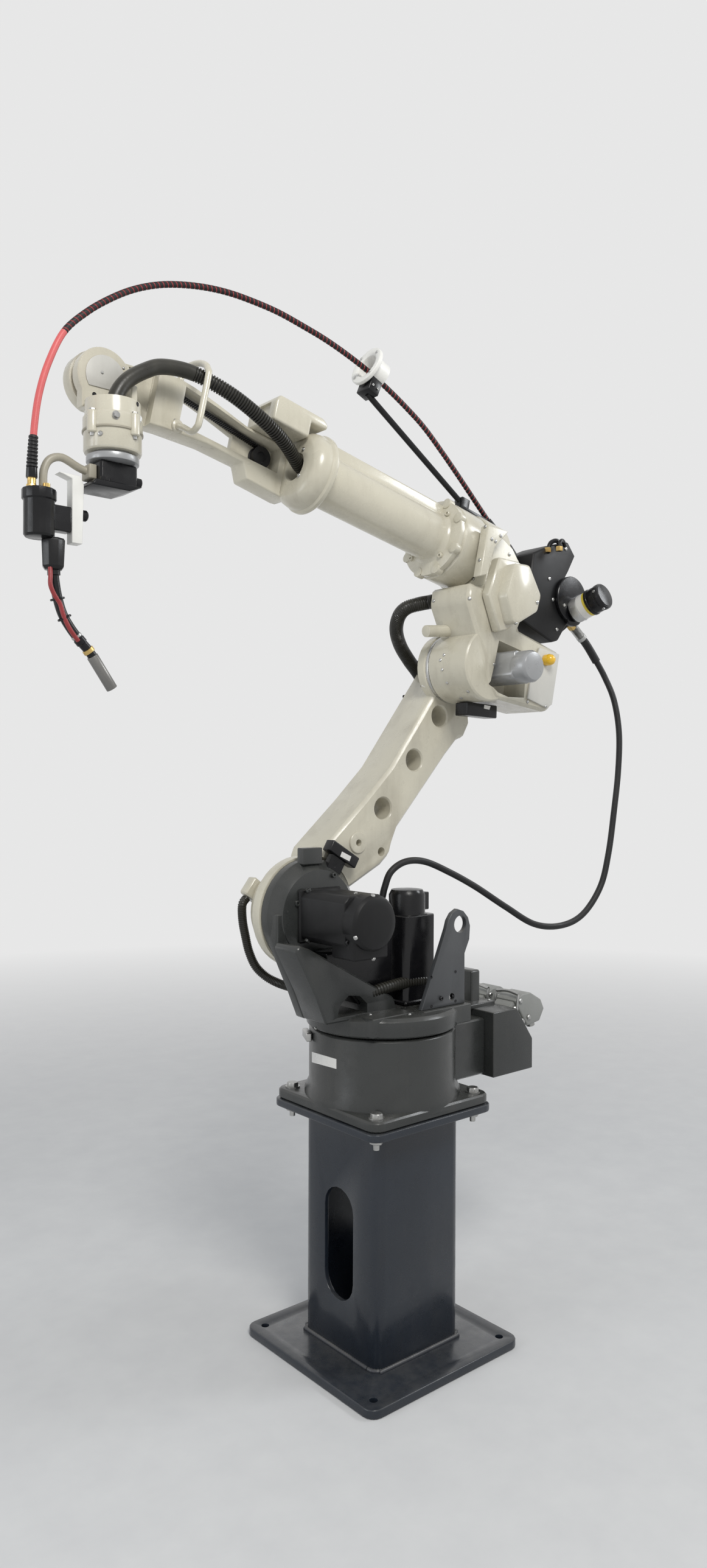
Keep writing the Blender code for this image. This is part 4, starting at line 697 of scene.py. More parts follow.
# The forearm, with the photograph's finer shapes in place of the CAD nodes
root_end = 0.0715 + 0.095 * 0.85
flange_end = root_end + 0.018
tube_end = 0.545
shaft = turned([(0.0684, 0.0665), (0.0684, 0.0715), (0.0945, 0.0715), (0.0955, 0.075), (0.0955, root_end - 0.004),
    (0.09, root_end), (0.09, root_end + 0.003), (0.0945, root_end + 0.005), (0.0945, flange_end), (0.066, flange_end
    + 0.004), (0.06, flange_end + 0.01), (0.058, flange_end + 0.018), (0.058, tube_end)], "X", ROLL, 96)
rail = block((flange_end, -0.025, 0.035), (tube_end - 0.002, 0.025, 0.08), ROLL, 0.006, 3)
lobes = []
for angle in (25, 68, 112, 155, 205, 250, 290, 335):
    lobes.append(drum(0.0125, root_end + 0.004, flange_end + 0.004, "X", ROLL, (0, *circle(0.0885, angle)), 24))
piece(joined(shaft, rail, *lobes), "forearm_tube_dressed", "forearm", ["cream"], ["forearm_tube"], 0.0014)

ring = turned([(r, tube_end + h) for r, h in mm((71.2, 0), (85.5, 2), (89, 6), (89, 14), (84.1, 18), (85.5, 26),
    (82.8, 40.6), (74.8, 52.2))] + [(0.0641, ring_end)], "X", ROLL, 96)
outline = from_ring([(-0.0629, 0.618), (0.2449, 0.618), (0.4315, 0.7865), (0.5551, 0.8764), (0.6337, 0.8989),
    (0.7461, 0.8427), (0.8921, 0.7079)])
for step in range(17):
    x, z = circle(0.06, 80 - 10 * step)
    outline.append((1.048 + x, z))
outline += from_ring([(0.8247, -0.5281), (0.6674, -0.3933), (0.4427, -0.2697), (0.2292, -0.2697), (0.1955, -0.6292),
    (-0.0292, -0.6742), (-0.0629, -0.6517)])
beam = prism(outline, -0.094, -0.04, ROLL, 0.004, 3)
beam = cut(beam, block((1.048 - 0.113, -0.062, -0.178), (1.3, 0.2, 0.178), ROLL))
pocket = prism(from_ring([(0.0337, 0.5281), (0.2449, 0.5449), (0.4315, 0.6854), (0.6045, 0.7753), (0.6045, -0.1348),
    (0.0337, -0.1348)]), -0.08, -0.036, ROLL)
window = prism(from_ring([(0.2674, 0.427), (0.4427, 0.6067), (0.5955, 0.7191), (0.5955, -0.0449), (0.2674,
    -0.0674)]), -0.098, -0.076, ROLL)
facet = prism([(1.048 - 0.112, 0.075), (1.048 - 0.055, 0.06), (1.048 - 0.075, 0.015), (1.048 - 0.112, -0.01)],
    -0.066, -0.058, ROLL)
mouth = turned([(0.03, ring_end - 0.045), (0.03, ring_end - 0.006), (0.0335, ring_end + 0.004)], "X", ROLL, 64)
casting = cut(joined(ring, beam), pocket, window, mouth, facet)
piece(casting, "forearm_casting_dressed", "forearm", ["cream_cast"], ["forearm_casting"], 0.0018)

# The toothed belt in the beam, on its pulley
belt_start = -0.08 + 0.0003
spot_x, spot_z = from_ring([(0.1101, 0.1798)])[0]
pulley = turned([(r, belt_start + h) for r, h in mm((0, 0), (23.5, 0), (23.5, 2), (20.5, 3), (20.5, 17), (23.5, 18),
    (23.5, 20), (12, 20), (10, 16), (0, 16))], "Y", ROLL, 40, (spot_x, 0, spot_z))
build = bmesh.new()
build.from_mesh(pulley.data)
bpy.data.objects.remove(pulley, do_unlink=True)
for (x0, z0), (x1, z1) in (from_ring([(0.1101, 0.4213), (0.6038, 0.6685)]), from_ring([(0.1101, -0.0618), (0.6038,
        -0.0674)])):
    along = Vector((x1 - x0, z1 - z0)).normalized()
    inward = Vector((along.y, -along.x)) if z0 > 0 else Vector((-along.y, along.x))
    count = int(math.hypot(x1 - x0, z1 - z0) / 0.005)
    rows = []
    for n in range(count):
        for share, deep in ((0, 0), (0.5, 0), (0.5, 0.0022), (1, 0.0022)):
            s = (n + share) / count
            rows.append((x0 + (x1 - x0) * s, z0 + (z1 - z0) * s, 0.0012 + deep))
    strips = []
    for x, z, deep in rows:
        corners = []
        for out, y in ((-0.0012, 0.002), (-0.0012, 0.018), (deep, 0.018), (deep, 0.002)):
            corners.append(build.verts.new(ROLL @ Vector((x + inward.x * out, belt_start + y, z + inward.y * out))))
        strips.append(corners)
    for low, high in zip(strips, strips[1:]):
        for k in range(4):
            build.faces.new((low[k], low[(k + 1) % 4], high[(k + 1) % 4], high[k]))
    build.faces.new(strips[0][::-1])
    build.faces.new(strips[-1])
bmesh.ops.recalc_face_normals(build, faces=build.faces)
piece(linked("belt", build, []), "wrist_belt_and_pulley", "forearm", ["rubber"], ["forearm_panel"], None)

cover = prism(from_ring([(0.0067, 0.6213), (0.2247, 0.6213), (0.2247, 1.124), (0.2067, 1.281), (-0.0584, 1.281),
    (-0.0921, 1.18), (-0.0921, 1.039), (0.0067, 1.039)]), -0.062, 0.0418, ROLL, 0.006, 4)
recess = prism(from_ring([(0.205, 0.7), (0.26, 0.7), (0.26, 1.12), (0.205, 1.12)]), -0.022, 0.02, ROLL, 0.003)
piece(cut(cover, recess), "motor_cover_dressed", "forearm", ["cream"], ["wrist_motor_cover"], 0.001)

# The guard loop: a bent bar from its foot on the beam, round the conduit and back over the beam
place = ring_end + 0.6135 * reach
bar_route = mm((-39.7, -20), (-34, -22), (-10, -31), (28, -50), (46, -46), (52, -30), (52, 60), (47, 76), (32, 92),
    (0, 106), (-40, 112), (-58, 108), (-64, 100), (-64, 82))
loop = Path(inside(ROLL, [(place, y, z) for y, z in bar_route]), 10)
build = bmesh.new()
sweep(build, loop, even(0, loop.length, 0.0068, 0.003), 20)
lathe_into(build, mm((0, 0), (13, 0), (13, 5), (11.5, 6.5), (0, 6.5)), ROLL @ Vector((place, -0.04, -0.02)), Y, 32)
lathe_into(build, mm((0, 0), (12, 0), (12, 4), (10, 6), (0, 6)), ROLL @ Vector((place, -0.064, 0.0795)), fore_up,
    32)
piece(linked("loop", build, []), "guard_loop_dressed", "forearm", ["cream"], ["cable_guard_loop"], None)
smooth(bpy.data.objects["guard_loop_dressed"], 50)

# The guide for the torch cable: ring, collar, clamp block and post
guide = ELBOW @ Matrix.Translation(at(451.5, 0, 589.6)) @ Matrix.Rotation(math.radians(-10.4), 4, "Y")
ring = turned(mm((33, -38), (33, -2), (36, 0), (45.5, 0), (47, 1.5), (47, 8.5), (45.5, 10), (34, 10), (28.5, 7),
    (27, 2), (27, -36), (29, -38), (33, -38)), "X", guide, 72)
piece(ring, "guide_ring_dressed", "elbow", ["white"], ["guide_ring"], 0.0006)
low, high = at(-36, -22, -60.5), at(-4, 22, -16.5)
saddle = cut(block(low, high, guide, 0.002), drum(0.0333, -0.28, 0.28, "X", guide, sides=72))
piece(saddle, "guide_clamp_dressed", "elbow", ["black"], ["guide_clamp"], 0.0012)
bottom = ELBOW @ at(93.8, 0, 402)
top = guide @ at(-20, 0, -58)
build = bmesh.new()
rod = Path([bottom, bottom.lerp(top, 0.33), bottom.lerp(top, 0.66), top])
sweep(build, rod, even(0, rod.length, 0.007, 0.01), 24)
rod_piece = linked("rod", build, [])
foot_block = block((0.078, -0.014, 0.381), (0.106, 0.014, 0.413), ELBOW, 0.002)
foot_pad = block((0.01, -0.017, 0.352), (0.108, 0.017, 0.3895), ELBOW, 0.002)
foot_pad = cut(foot_pad, drum(0.0993, -0.28, 0.063, "X", ROLL, sides=72), drum(0.1012, 0.061, 0.28, "X", ROLL,
    sides=72))
piece(joined(foot_pad, foot_block, rod_piece), "guide_rod_dressed", "elbow", ["black"], ["guide_rod"], 0.0008)

# CAD nodes that keep their shapes get rounded edges and their finish
for node, row in dict(pedestal_foot_plate=("navy", 2), pedestal_column=("navy", 2), pedestal_flange=("navy", 2),
        base_casting=("dark", 3), base_cable_box=("dark", 1.6), axis_stop_bracket=("steel", 1.2),
        swivel_casting=("dark", 3), shoulder_motor=("matte", 2), swivel_motor=("black", 2), lifting_plate=("plate",
        1.2), shoulder_switch=("black", 1.2), lower_arm=("cream_cast", 4), elbow_reducer_ring=("steel", 1.2),
        shoulder_cover=("cream", 2.5), elbow_casting=("cream_cast", 3.5), elbow_motor=("motor", 2),
        elbow_side_cover=("cream", 3), elbow_junction_box=("cream", 2), status_lamp=("amber", 1),
        elbow_rear_plate=("light", 1), elbow_switch=("black", 1), wire_feeder=("matte", 2.5), feed_motor=("black",
        1.6), wrist_end_cap=("cream", 2), wrist_casting=("cream", 2), wrist_cover=("light", 0.8),
        tool_flange=("motor", 1, "machined_steel"), shock_sensor=("black", 2), torch_bracket=("beige", 1.6),
        torch_clamp_arm=("white", 1), torch_nozzle=("gunmetal", 0.8)).items():
    skin(node, *row)


# Fasteners and small parts, each seated on the surface that carries it
stand_ins = {"forearm_tube": "forearm_tube_dressed", "forearm_casting": "forearm_casting_dressed",
    "wrist_motor_cover": "motor_cover_dressed", "guide_ring": "guide_ring_dressed", "guide_clamp":
    "guide_clamp_dressed", "guide_rod": "guide_rod_dressed"}
loose = {"torch_cable", "forearm_conduit", "elbow_hose", "shoulder_hose", "supply_hose", "forearm_panel",
    "connector_hoods", "cable_guard_loop", "torch_neck"}
trees = {}
for node in carrier:
    if node in loose:
        continue
    shown = bpy.data.objects[stand_ins[node]] if node in stand_ins else frame["nodes"][node]
    trees[node] = BVHTree.FromPolygons([shown.matrix_world @ v.co for v in shown.data.vertices], [tuple(p.vertices)
        for p in shown.data.polygons])
ways = [X, Y, Z, -X, -Y, -Z, fore_out, -fore_out, fore_up, -fore_up, arm_out, -arm_out, arm_up, -arm_up]


def snapped(normal):
    best = max(ways, key=lambda way: way.dot(normal))
    return best.copy() if best.dot(normal) > 0.94 else normal.normalized()


def seen_at(px, py, only=None):
    """The first surface of the object behind a place in the photograph: its point, its normal and its node."""
    ahead = across * ((px - 581) / 1719.6) - upward * ((py - 1288) / 1719.6) - back
    found = None
    for node, tree in trees.items():
        if only and node not in only:
            continue
        spot, normal, _, gap = tree.ray_cast(stand.translation, ahead.normalized(), 6)
        if spot is not None and (found is None or gap < found[3]):
            found = (spot, -normal if normal.dot(ahead) > 0 else normal, node, gap)
    return found[:3]


kits = collections.defaultdict(bmesh.new)
kit_mats = ["zinc", "oxide", "steel", "cream", "dark"]


# Screw heads, in shares of half their size: their outlines, sides, six-flat rings and turns
heads = {
    "washer": (((0, 0), (1.45, 0), (1.45, 0.22), (0, 0.22)), 28, (), 0),
    "hex": (((0, 0.2), (1.15, 0.2), (1.15, 0.82), (0.98, 0.95), (0, 0.95)), 36, (1, 2), 0.4),
    "socket": (((0, 0), (1, 0), (1, 0.85), (0.86, 1), (0.56, 1), (0.5, 0.94), (0.5, 0.45), (0, 0.45)), 24, (5, 6),
        0.3),
    "pan": (((0, 0), (1, 0), (0.98, 0.25), (0.75, 0.52), (0.3, 0.62), (0.24, 0.5), (0, 0.45)), 20, (), 0)}


def fasten(body, spot, way, kind="socket", size=0.008, mat="zinc"):
    """A screw head of its size across, standing on a surface; a plug is a flat cap."""
    r = size / 2
    m = kit_mats.index(mat)
    if kind == "plug":
        lathe_into(kits[body], [(0, 0), (r, 0), (r, 0.0006), (r * 0.8, 0.0006), (r * 0.72, 0.0001), (0, 0.0001)],
            spot, way, 20, m)
        return
    for head in ("washer", "hex") if kind == "hex" else (kind,):
        outline, sides, hexed, spin = heads[head]
        lathe_into(kits[body], [(x * r, z * r) for x, z in outline], spot, way, sides, m, hexed, spin)


for kind, size, mat, spots in (
        ("socket", 0.0125, "dark", ((507.2, 1464.4), (487.5, 1483.9), (505.8, 1544.2), (547.5, 1437.5))),
        ("pan", 0.01, "zinc", ((612.8, 1471.4), (584.4, 1467.8), (584.4, 1540.8), (613.9, 1575.6))),
        ("socket", 0.01, "oxide", ((570.3, 1548.3), (724.4, 1640), (743.9, 1635.8))),
        ("plug", 0.007, "oxide", ((709.2, 1605.6), (748.6, 1596.4), (709.2, 1653.3), (748.6, 1644.4))),
        ("pan", 0.0085, "zinc", ((608.3, 1667.2), (673, 1666.7), (518.9, 1689.4))),
        ("socket", 0.013, "cream", ((737.1, 844.5), (724.5, 912.6), (677, 918))),
        ("pan", 0.009, "zinc", ((797.6, 865.3), (808.2, 885.8), (814.2, 889.5), (823, 880.5), (788.4, 920), (777.9,
            950.8), (771.8, 983.2), (713, 987), (848, 1024), (837, 911), (812, 1091.6), (769.2, 1136), (866.8,
            1153), (897, 1161), (758, 1146.5))),
        ("pan", 0.01, "zinc", ((930, 902), (902.9, 951), (883, 989.7), (915, 1034), (909, 985))),
        ("pan", 0.008, "steel", ((724, 1084.5), (730, 1076), (727, 1100), (735, 1122))),
        ("hex", 0.011, "zinc", ((191, 681.6), (227, 688))),
        ("pan", 0.01, "zinc", ((288, 692), (165, 712), (499, 738), (491, 781))),
        ("pan", 0.006, "zinc", ((196, 632), (203, 605), (168, 612))),
        ("plug", 0.009, "oxide", ((155, 648), (226, 664)))):
    for px, py in spots:
        spot, normal, node = seen_at(px, py)
        fasten(carrier[node], spot, snapped(normal), kind, size, mat)


def fasten_under(node, start, way, far, kind, size, mat="zinc", snap=False):
    """A fastener where a ray from start first meets a node; it faces the ray, or as the surface does."""
    spot, normal = trees[node].ray_cast(start, way, far)[:2]
    if spot is not None:
        fasten(carrier[node], spot, snapped(normal) if snap else -way, kind, size, mat)


# Bolts by their places: base corners with studs and nuts below, hub, covers and rings
for x in (-0.15, 0.15):
    for y in (-0.15, 0.15):
        fasten_under("base_casting", Vector((x, y, 0.59)) + Z * 0.06, -Z, 0.12, "hex", 0.024)
        lathe_into(kits["base"], mm((0, 0), (15, 0), (15, 12), (13, 13.5), (7.2, 13.5), (6.6, 26), (0, 26)),
            Vector((x, y, 0.548)), -Z, 36, 0, (1, 2, 3), 0.2)
for n in range(12):
    x, z = circle(0.112, 15 + 30 * n)
    spot = Vector((0.186 + x, -0.15, 1.016 + z))
    fasten_under("shoulder_cover", spot - Y * 0.04, Y, 0.08, "socket", 0.009)
for n in range(16):
    angle = math.tau * n / 16
    spot = ELBOW @ Vector((0.078 * math.cos(angle), -0.04, 0.078 * math.sin(angle)))
    fasten_under("lower_arm", spot - Y * 0.2, Y, 0.3, "socket", 0.009, "oxide")
for n in range(8):
    x, z = circle(0.041, 22.5 + 45 * n)
    spot = WRIST @ Vector((x, -0.115, z))
    fasten_under("wrist_end_cap", spot - Y * 0.1, Y, 0.2, "pan", 0.006, snap=True)
for y in (-0.105, 0.105):
    for z in (0.65, 0.7):
        fasten_under("base_cable_box", Vector((-0.6, y, z)), X, 0.6, "pan", 0.008, snap=True)
for x, y in mm((-250, 40), (-250, -85), (-325, 40), (-325, -85)):
    fasten_under("base_cable_box", Vector((x, y, 1)), -Z, 0.6, "pan", 0.008)
for angle in (45, 135, 225, 315):
    fasten("elbow", guide @ Vector((0.01, *circle(0.0378, angle))), (guide.to_3x3() @ X).normalized(), "pan",
        0.0075, "zinc")
for x, y in mm((-28, 22), (-12, 22)):
    fasten("elbow", guide @ Vector((x, y, -0.046)), Y, "socket", 0.006, "zinc")

for body, build in kits.items():
    finished("fasteners_" + body, build, kit_mats, body, 30)


def add_turned(name, body, mats, parts, angle=35):
    """A piece of turned parts; each is its profile, centre, axis, sides, material number and rings with flats."""
    build = bmesh.new()
    for profile, centre, way, *rest in parts:
        lathe_into(build, profile, Vector(centre), way.normalized(), *rest)
    finished(name, build, mats, body, angle, ())


# Torch: body, knob, neck, hose, rings, and the fittings at both ends of its cable
body_x = 0.8458
upper = turned(mm((0, 1758.3), (25.2, 1758.3), (28, 1762.5), (28, 1825), (31.2, 1827), (31.2, 1844), (29.5, 1845.8),
    (12, 1845.8), (0, 1845.8)), "Z", WORLD, 16, (body_x, 0, 0))
lug = block((0.7872, -0.0126, 1.7742), (body_x, 0.0126, 1.8216), WORLD, 0.003)
lower = turned(mm((0, 1702.5), (16, 1702.5), (20.5, 1709), (22.6, 1756), (20, 1760), (0, 1760)), "Z", WORLD, 8,
    (0.8185, 0, 0))
piece(joined(upper, lower, lug), "torch_body_dressed", "tool", ["black"], ["torch_body"], 0.0025, 20)
neck_points = mm((817.5, 0, 1703.5), (816, 0, 1685), (810.5, 0, 1655), (800, 0, 1623.5), (783.5, 0, 1598), (765, 0,
    1577), (753, 0, 1565.5), (744.5, 0, 1556), (740, 0, 1550.5))
neck = Path(neck_points)
nose = (neck.at(neck.length) - neck.at(neck.length - 0.004)).normalized()
build = bmesh.new()
sweep(build, neck, even(0, neck.length, 0.0092, 0.004), 22)
for s, r, w, mat in ((0.006, 0.0118, 0.01, 0), (neck.length - 0.047, 0.0104, 0.006, 1), (neck.length - 0.036,
        0.0108, 0.012, 0), (neck.length - 0.012, 0.0112, 0.009, 2)):
    sweep(build, neck, [(s - w / 2, r * 0.9), (s - w / 2 + 0.0008, r), (s + w / 2 - 0.0008, r), (s + w / 2, r *
        0.9)], 28, mat)
finished("torch_neck_dressed", build, ["black", "zinc", "brass"], "tool", nodes=["torch_neck"])
red = Path(mm((829, 10.5, 1704), (830, 14.5, 1690), (831, 16.5, 1672), (823.5, 16, 1655), (812, 15, 1640), (806, 15,
    1622), (799, 15, 1606), (790.5, 14, 1593), (780, 11, 1582), (773, 9, 1575.5)))
build = bmesh.new()
sweep(build, red, even(0, red.length, 0.0042, 0.002), 16)
made = finished("torch_air_hose", build, ["red"], "tool", 50)
red.line(0, red.length, 30)
build = bmesh.new()
for s in (0.06, 0.098):
    ring_at = red.at(s)
    neck_at = neck.at(neck.near(ring_at))
    middle_at = ring_at.lerp(neck_at, 0.62)
    along = (neck.at(neck.near(ring_at) + 0.004) - neck.at(neck.near(ring_at) - 0.004)).normalized()
    lathe_into(build, mm((12.8, -1.8), (13.6, -1.2), (13.6, 1.2), (12.8, 1.8), (12.2, 0), (12.8, -1.8)), middle_at,
        along, 28)
finished("torch_hose_ties", build, ["black"], "tool", 50)
add_turned("torch_cable_fitting", "tool", ["brass", "black"], [(mm((0, 1846.3), (9.5, 1846.3), (9.5, 1852), (7.8,
    1853), (7.8, 1864), (0, 1864)), (0.86, 0, 0), Z, 36, 0, (1, 2)), (mm((0, 1864), (9.8, 1864), (10.4, 1866), (9.8,
    1882), (0, 1882)), (0.86, 0, 0), Z, 32, 1), (mm((0, 1846), (6.6, 1846), (6.6, 1856), (0, 1856)), (0.836, 0.01,
    0), Z, 24)])
build = bmesh.new()
start = cable.near((0.8597, 0, 1.882))
rings_at = []
for n in range(9):
    s = start + 0.06 * n / 9
    grown = 0.0102 - 0.0018 * n / 9
    rings_at += [(s, 0.0072), (s + 0.0014, 0.0074), (s + 0.0022, grown), (s + 0.0052, grown)]
rings_at.append((start + 0.0605, 0.0068))
sweep(build, cable, rings_at, 26)
made = linked("torch_spring_boot", build, ["rubber"])
smooth(made, 45)
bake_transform(made)
build = bmesh.new()
rings_at = []
start = cable.length - 0.092
for n in range(13):
    s = start + 0.0052 * n
    grown = 0.0086 + 0.0042 * n / 13
    rings_at += [(s, grown - 0.0022), (s + 0.0012, grown - 0.0022), (s + 0.0018, grown), (s + 0.0044, grown)]
rings_at += [(start + 0.068, 0.0128), (start + 0.072, 0.0128)]
sweep(build, cable, rings_at, 26)
finished("feeder_spring_boot", build, ["rubber"], "elbow", 45)
way = (cable.at(cable.length) - cable.at(cable.length - 0.006)).normalized()
add_turned("feeder_brass_nut", "elbow", ["brass"], [(mm((0, -20), (10.5, -20), (10.5, -13), (12.8, -12), (12.8, -2),
    (11, 0.5), (0, 0.5)), cable.at(cable.length), way, 36, 0, (3, 4))])
knob = mm((0, 0), (8.5, 0), (10.5, 2), (10.5, 10), (8.5, 12.5), (0, 12.5))
spot = trees["torch_clamp_arm"].ray_cast(at(700, 0, 1812), X, 0.2)[0]
add_turned("torch_clamp_knob", "tool", ["black"], [(knob, spot, -X, 30)])
sensor_parts = []
for start, way, reach_far, rest in ((at(735, 6, 1879.5) + Y * 0.1, -Y, 0.2, (24, 0, (1, 2))), (at(715, 6, 1879.5) +
        Y * 0.1, -Y, 0.2, (24, 0, (1, 2))), (at(600, 12, 1890), X, 0.2, (28,))):
    spot = trees["shock_sensor"].ray_cast(start, way, reach_far)[0]
    if spot is None:
        print("SENSOR MISS", start)
        continue
    profile = (mm((0, 0), (6, 0), (6, 4), (0, 4.5)) if len(rest) > 1 else mm((0, 0), (9.5, 0), (10, 3), (9.5, 14),
        (7, 15.5), (0, 15.5)))
    sensor_parts.append((profile, spot, -way, *rest))
add_turned("sensor_plug_and_nuts", "tool", ["black"], sensor_parts)

# Wrist: four lugs round its flange
lugs = []
for angle in (20, 110, 200, 290):
    spot = WRIST @ Vector((*circle(0.0545, angle), 0))
    lugs.append((mm((0, -130.5), (8.8, -130.5), (10.6, -128.5), (10.6, -92), (9.2, -89.5), (0, -89.5)), spot, Z,
        28))
    lugs.append((mm((0, -89.5), (6.2, -89.5), (6.2, -85), (0, -84.6)), spot, Z, 24, 1, (1, 2)))
    lugs.append((mm((0, -130.5), (5.2, -130.5), (4.6, -136.5), (0, -136.5)), spot, Z, 24, 1))
lugs.append((mm((55.5, -116), (57.8, -117), (57.8, -120), (55.5, -121.2)), wrist, Z, 64, 2))
lugs.append((mm((52.5, -129), (54.6, -130), (54.6, -155), (53, -157.2)), wrist, Z, 64, 3))
add_turned("wrist_lugs", "wrist", ["cream", "zinc", "beige", "light"], lugs)

# Feed motor: gearbox collar, bare white and yellow bands, dark end with its screws
motor_frame = ELBOW @ Matrix.Translation(at(-298.2, 70.3, 232.4)) @ Matrix.Rotation(math.radians(20), 4, "X")
axis = (motor_frame.to_3x3() @ Y).normalized()
origin = motor_frame.translation
parts = [(mm((29.6, 16), (32.2, 17), (33, 22), (33, 38), (32.2, 40), (29.6, 41)), origin, axis, 48), (mm((29.6,
    40.5), (32.8, 40.8), (32.8, 59), (29.6, 59.2)), origin, axis, 48, 1), (mm((29.6, 59), (33, 59.2), (33, 66),
    (29.6, 66.2)), origin, axis, 48, 2), (mm((33, 66.5), (35.6, 68), (35.6, 73), (34.5, 74.5), (33, 74.5)), origin,
    axis, 48, 3), (mm((33, 96), (35.2, 97.5), (35.2, 106), (33, 110)), origin, axis, 48, 3)]
for angle in (30, 120, 210, 300):
    along, up = circle(1, angle)
    side = axis.orthogonal().normalized() * along + axis.cross(axis.orthogonal().normalized()) * up
    parts.append((mm((0, 0), (4.2, 0), (4.2, 3), (0, 3.4)), origin + axis * 0.1015 + side * 0.0348, side, 18, 4, (1,
        2)))
    parts.append((mm((0, 0), (4.6, 0), (4, 3), (0, 3.4)), origin + axis * 0.012 + side * 0.047 + Y * 0.002, Y, 18,
        4))
add_turned("feed_motor_bands", "elbow", ["alu", "label", "yellow", "black", "zinc"], parts, 30)

# Feeder fittings: block and braided end of the supply hose, plug with its band
build = bmesh.new()
sweep(build, supply, mm((0, 13), (1, 13.8), (17, 13.8), (18, 12)), 6, 0)
stations = []
for n in range(14):
    s = 0.018 + 0.0026 * n
    stations += [(s, 0.0112), (s + 0.0013, 0.0126)]
stations.append((0.055, 0.0112))
sweep(build, supply, stations, 20, 1)
sweep(build, supply, mm((54, 11.5), (55, 13.2), (66, 13.2), (68, 11.5)), 26, 1)
finished("supply_hose_fitting", build, ["brass", "zinc"], "elbow")

# Connector hoods on the sloped side of the cable box, with their latch levers
slope_up = Vector((0.059, 0, 0.083)).normalized()
slope_out = Vector((-slope_up.z, 0, slope_up.x))
SLOPE = placed(at(-402, 0, 670.2), slope_out, slope_up)
shapes = [block((0.0003, -0.101, 0.006), (0.004, 0.101, 0.0965), SLOPE, 0.001)]
for side in (-0.0505, 0.0505):
    shapes.append(block((0.003, side - 0.028, 0.012), (0.03, side + 0.028, 0.088), SLOPE, 0.003))
    hood = prism(mm((30, 4), (72, -18), (104, -4), (108, 24), (88, 66), (62, 84), (30, 90)), side - 0.033, side +
        0.033, SLOPE, 0.004, 3)
    shapes.append(hood)
hoods = joined(*shapes)
piece(hoods, "connector_hoods_dressed", "base", ["hood"], ["connector_hoods"], 0.0012)
build = bmesh.new()
for side in (-0.0505, 0.0505):
    for y in (side - 0.0335, side + 0.0335):
        out = Y if y > side else -Y
        for x, z in mm((20, 72), (20, 28)):
            spot = SLOPE @ Vector((x, y - (0.0055 if y > side else -0.0055), z))
            lathe_into(build, mm((0, 0), (8.5, 0), (8.5, 6), (6, 9), (0, 9)), spot, out, 28)
            spot = SLOPE @ Vector((0.044, y, z + (0.006 if z > 0.05 else -0.006)))
            lathe_into(build, mm((0, 0), (6.2, 0), (6.2, 3), (4.5, 5), (0, 5)), spot, out, 24)
        lever = Path([SLOPE @ Vector(p) for p in ((0.02, y + out.y * 0.003, 0.072), (0.034, y + out.y * 0.004,
            0.088), (0.046, y + out.y * 0.004, 0.098))])
        sweep(build, lever, even(0, lever.length, 0.003, 0.004), 12)
    bar = Path([SLOPE @ Vector((0.046, side - 0.036, 0.098)), SLOPE @ Vector((0.05, side, 0.1)), SLOPE @
        Vector((0.046, side + 0.036, 0.098))])
    sweep(build, bar, even(0, bar.length, 0.0042, 0.004), 12)
    lathe_into(build, mm((0, 0), (13.5, 0), (13.5, 8), (11.5, 10), (11.5, 18), (0, 18)), SLOPE @ Vector((0.07, side,
        -0.016)), Vector((-0.25, 0, -0.97)).normalized(), 32, 0, (1, 2))
finished("hood_levers_and_glands", build, ["zinc"], "base", 35)

# Weld beads round the column's two ends
build = bmesh.new()
half, corner = 0.131, 0.028
for height in (0.0215, 0.5465):
    loop_at = []
    for quarter in range(4):
        for step in range(5):
            x, y = circle(corner, 90 * step / 4)
            local = Vector((half - corner + x, half - corner + y, height))
            loop_at.append(Matrix.Rotation(math.radians(90 * quarter), 3, "Z") @ local)
    loop_at.append(loop_at[0].copy())
    ring_path = Path(loop_at, 8)
    stations = []
    s = 0
    while s < ring_path.length:
        stations += [(s, 0.0052), (s + 0.0035, 0.0064)]
        s += 0.007
    stations.append((ring_path.length, 0.0052))
    sweep(build, ring_path, stations, 10)
finished("column_welds", build, ["seam"], "base", 60)


# Bare strips and plates that lie on a surface, by their places in the photograph
def strip(name, corners, node):
    """A thin bare label on a node, between four corners in the photograph."""
    columns, rows, lift, depth = 10, 3, 0.0007, 0.0004
    build = bmesh.new()
    grid = []
    for r in range(rows + 1):
        line = []
        for c in range(columns + 1):
            u, v = c / columns, r / rows
            px, py = ((corners[0][k] * (1 - u) + corners[1][k] * u) * (1 - v) + (corners[3][k] * (1 - u) +
                corners[2][k] * u) * v for k in range(2))
            spot, normal, _ = seen_at(px, py, (node,))
            line.append((spot + normal * lift, spot - normal * depth))
        grid.append(line)
    top = [[build.verts.new(p[0]) for p in line] for line in grid]
    low = [[build.verts.new(p[1]) for p in line] for line in grid]
    for r in range(rows):
        for c in range(columns):
            build.faces.new((top[r][c], top[r + 1][c], top[r + 1][c + 1], top[r][c + 1]))
            build.faces.new((low[r][c], low[r][c + 1], low[r + 1][c + 1], low[r + 1][c]))
    edge = ([(0, c) for c in range(columns)] + [(r, columns) for r in range(rows)] + [(rows, columns - c) for c in
        range(columns)] + [(rows - r, 0) for r in range(rows)])
    for n, (r, c) in enumerate(edge):
        r2, c2 = edge[(n + 1) % len(edge)]
        build.faces.new((top[r][c], top[r2][c2], low[r2][c2], low[r][c]))
    bmesh.ops.recalc_face_normals(build, faces=build.faces)
    finished(name, build, ["label"], carrier[node])


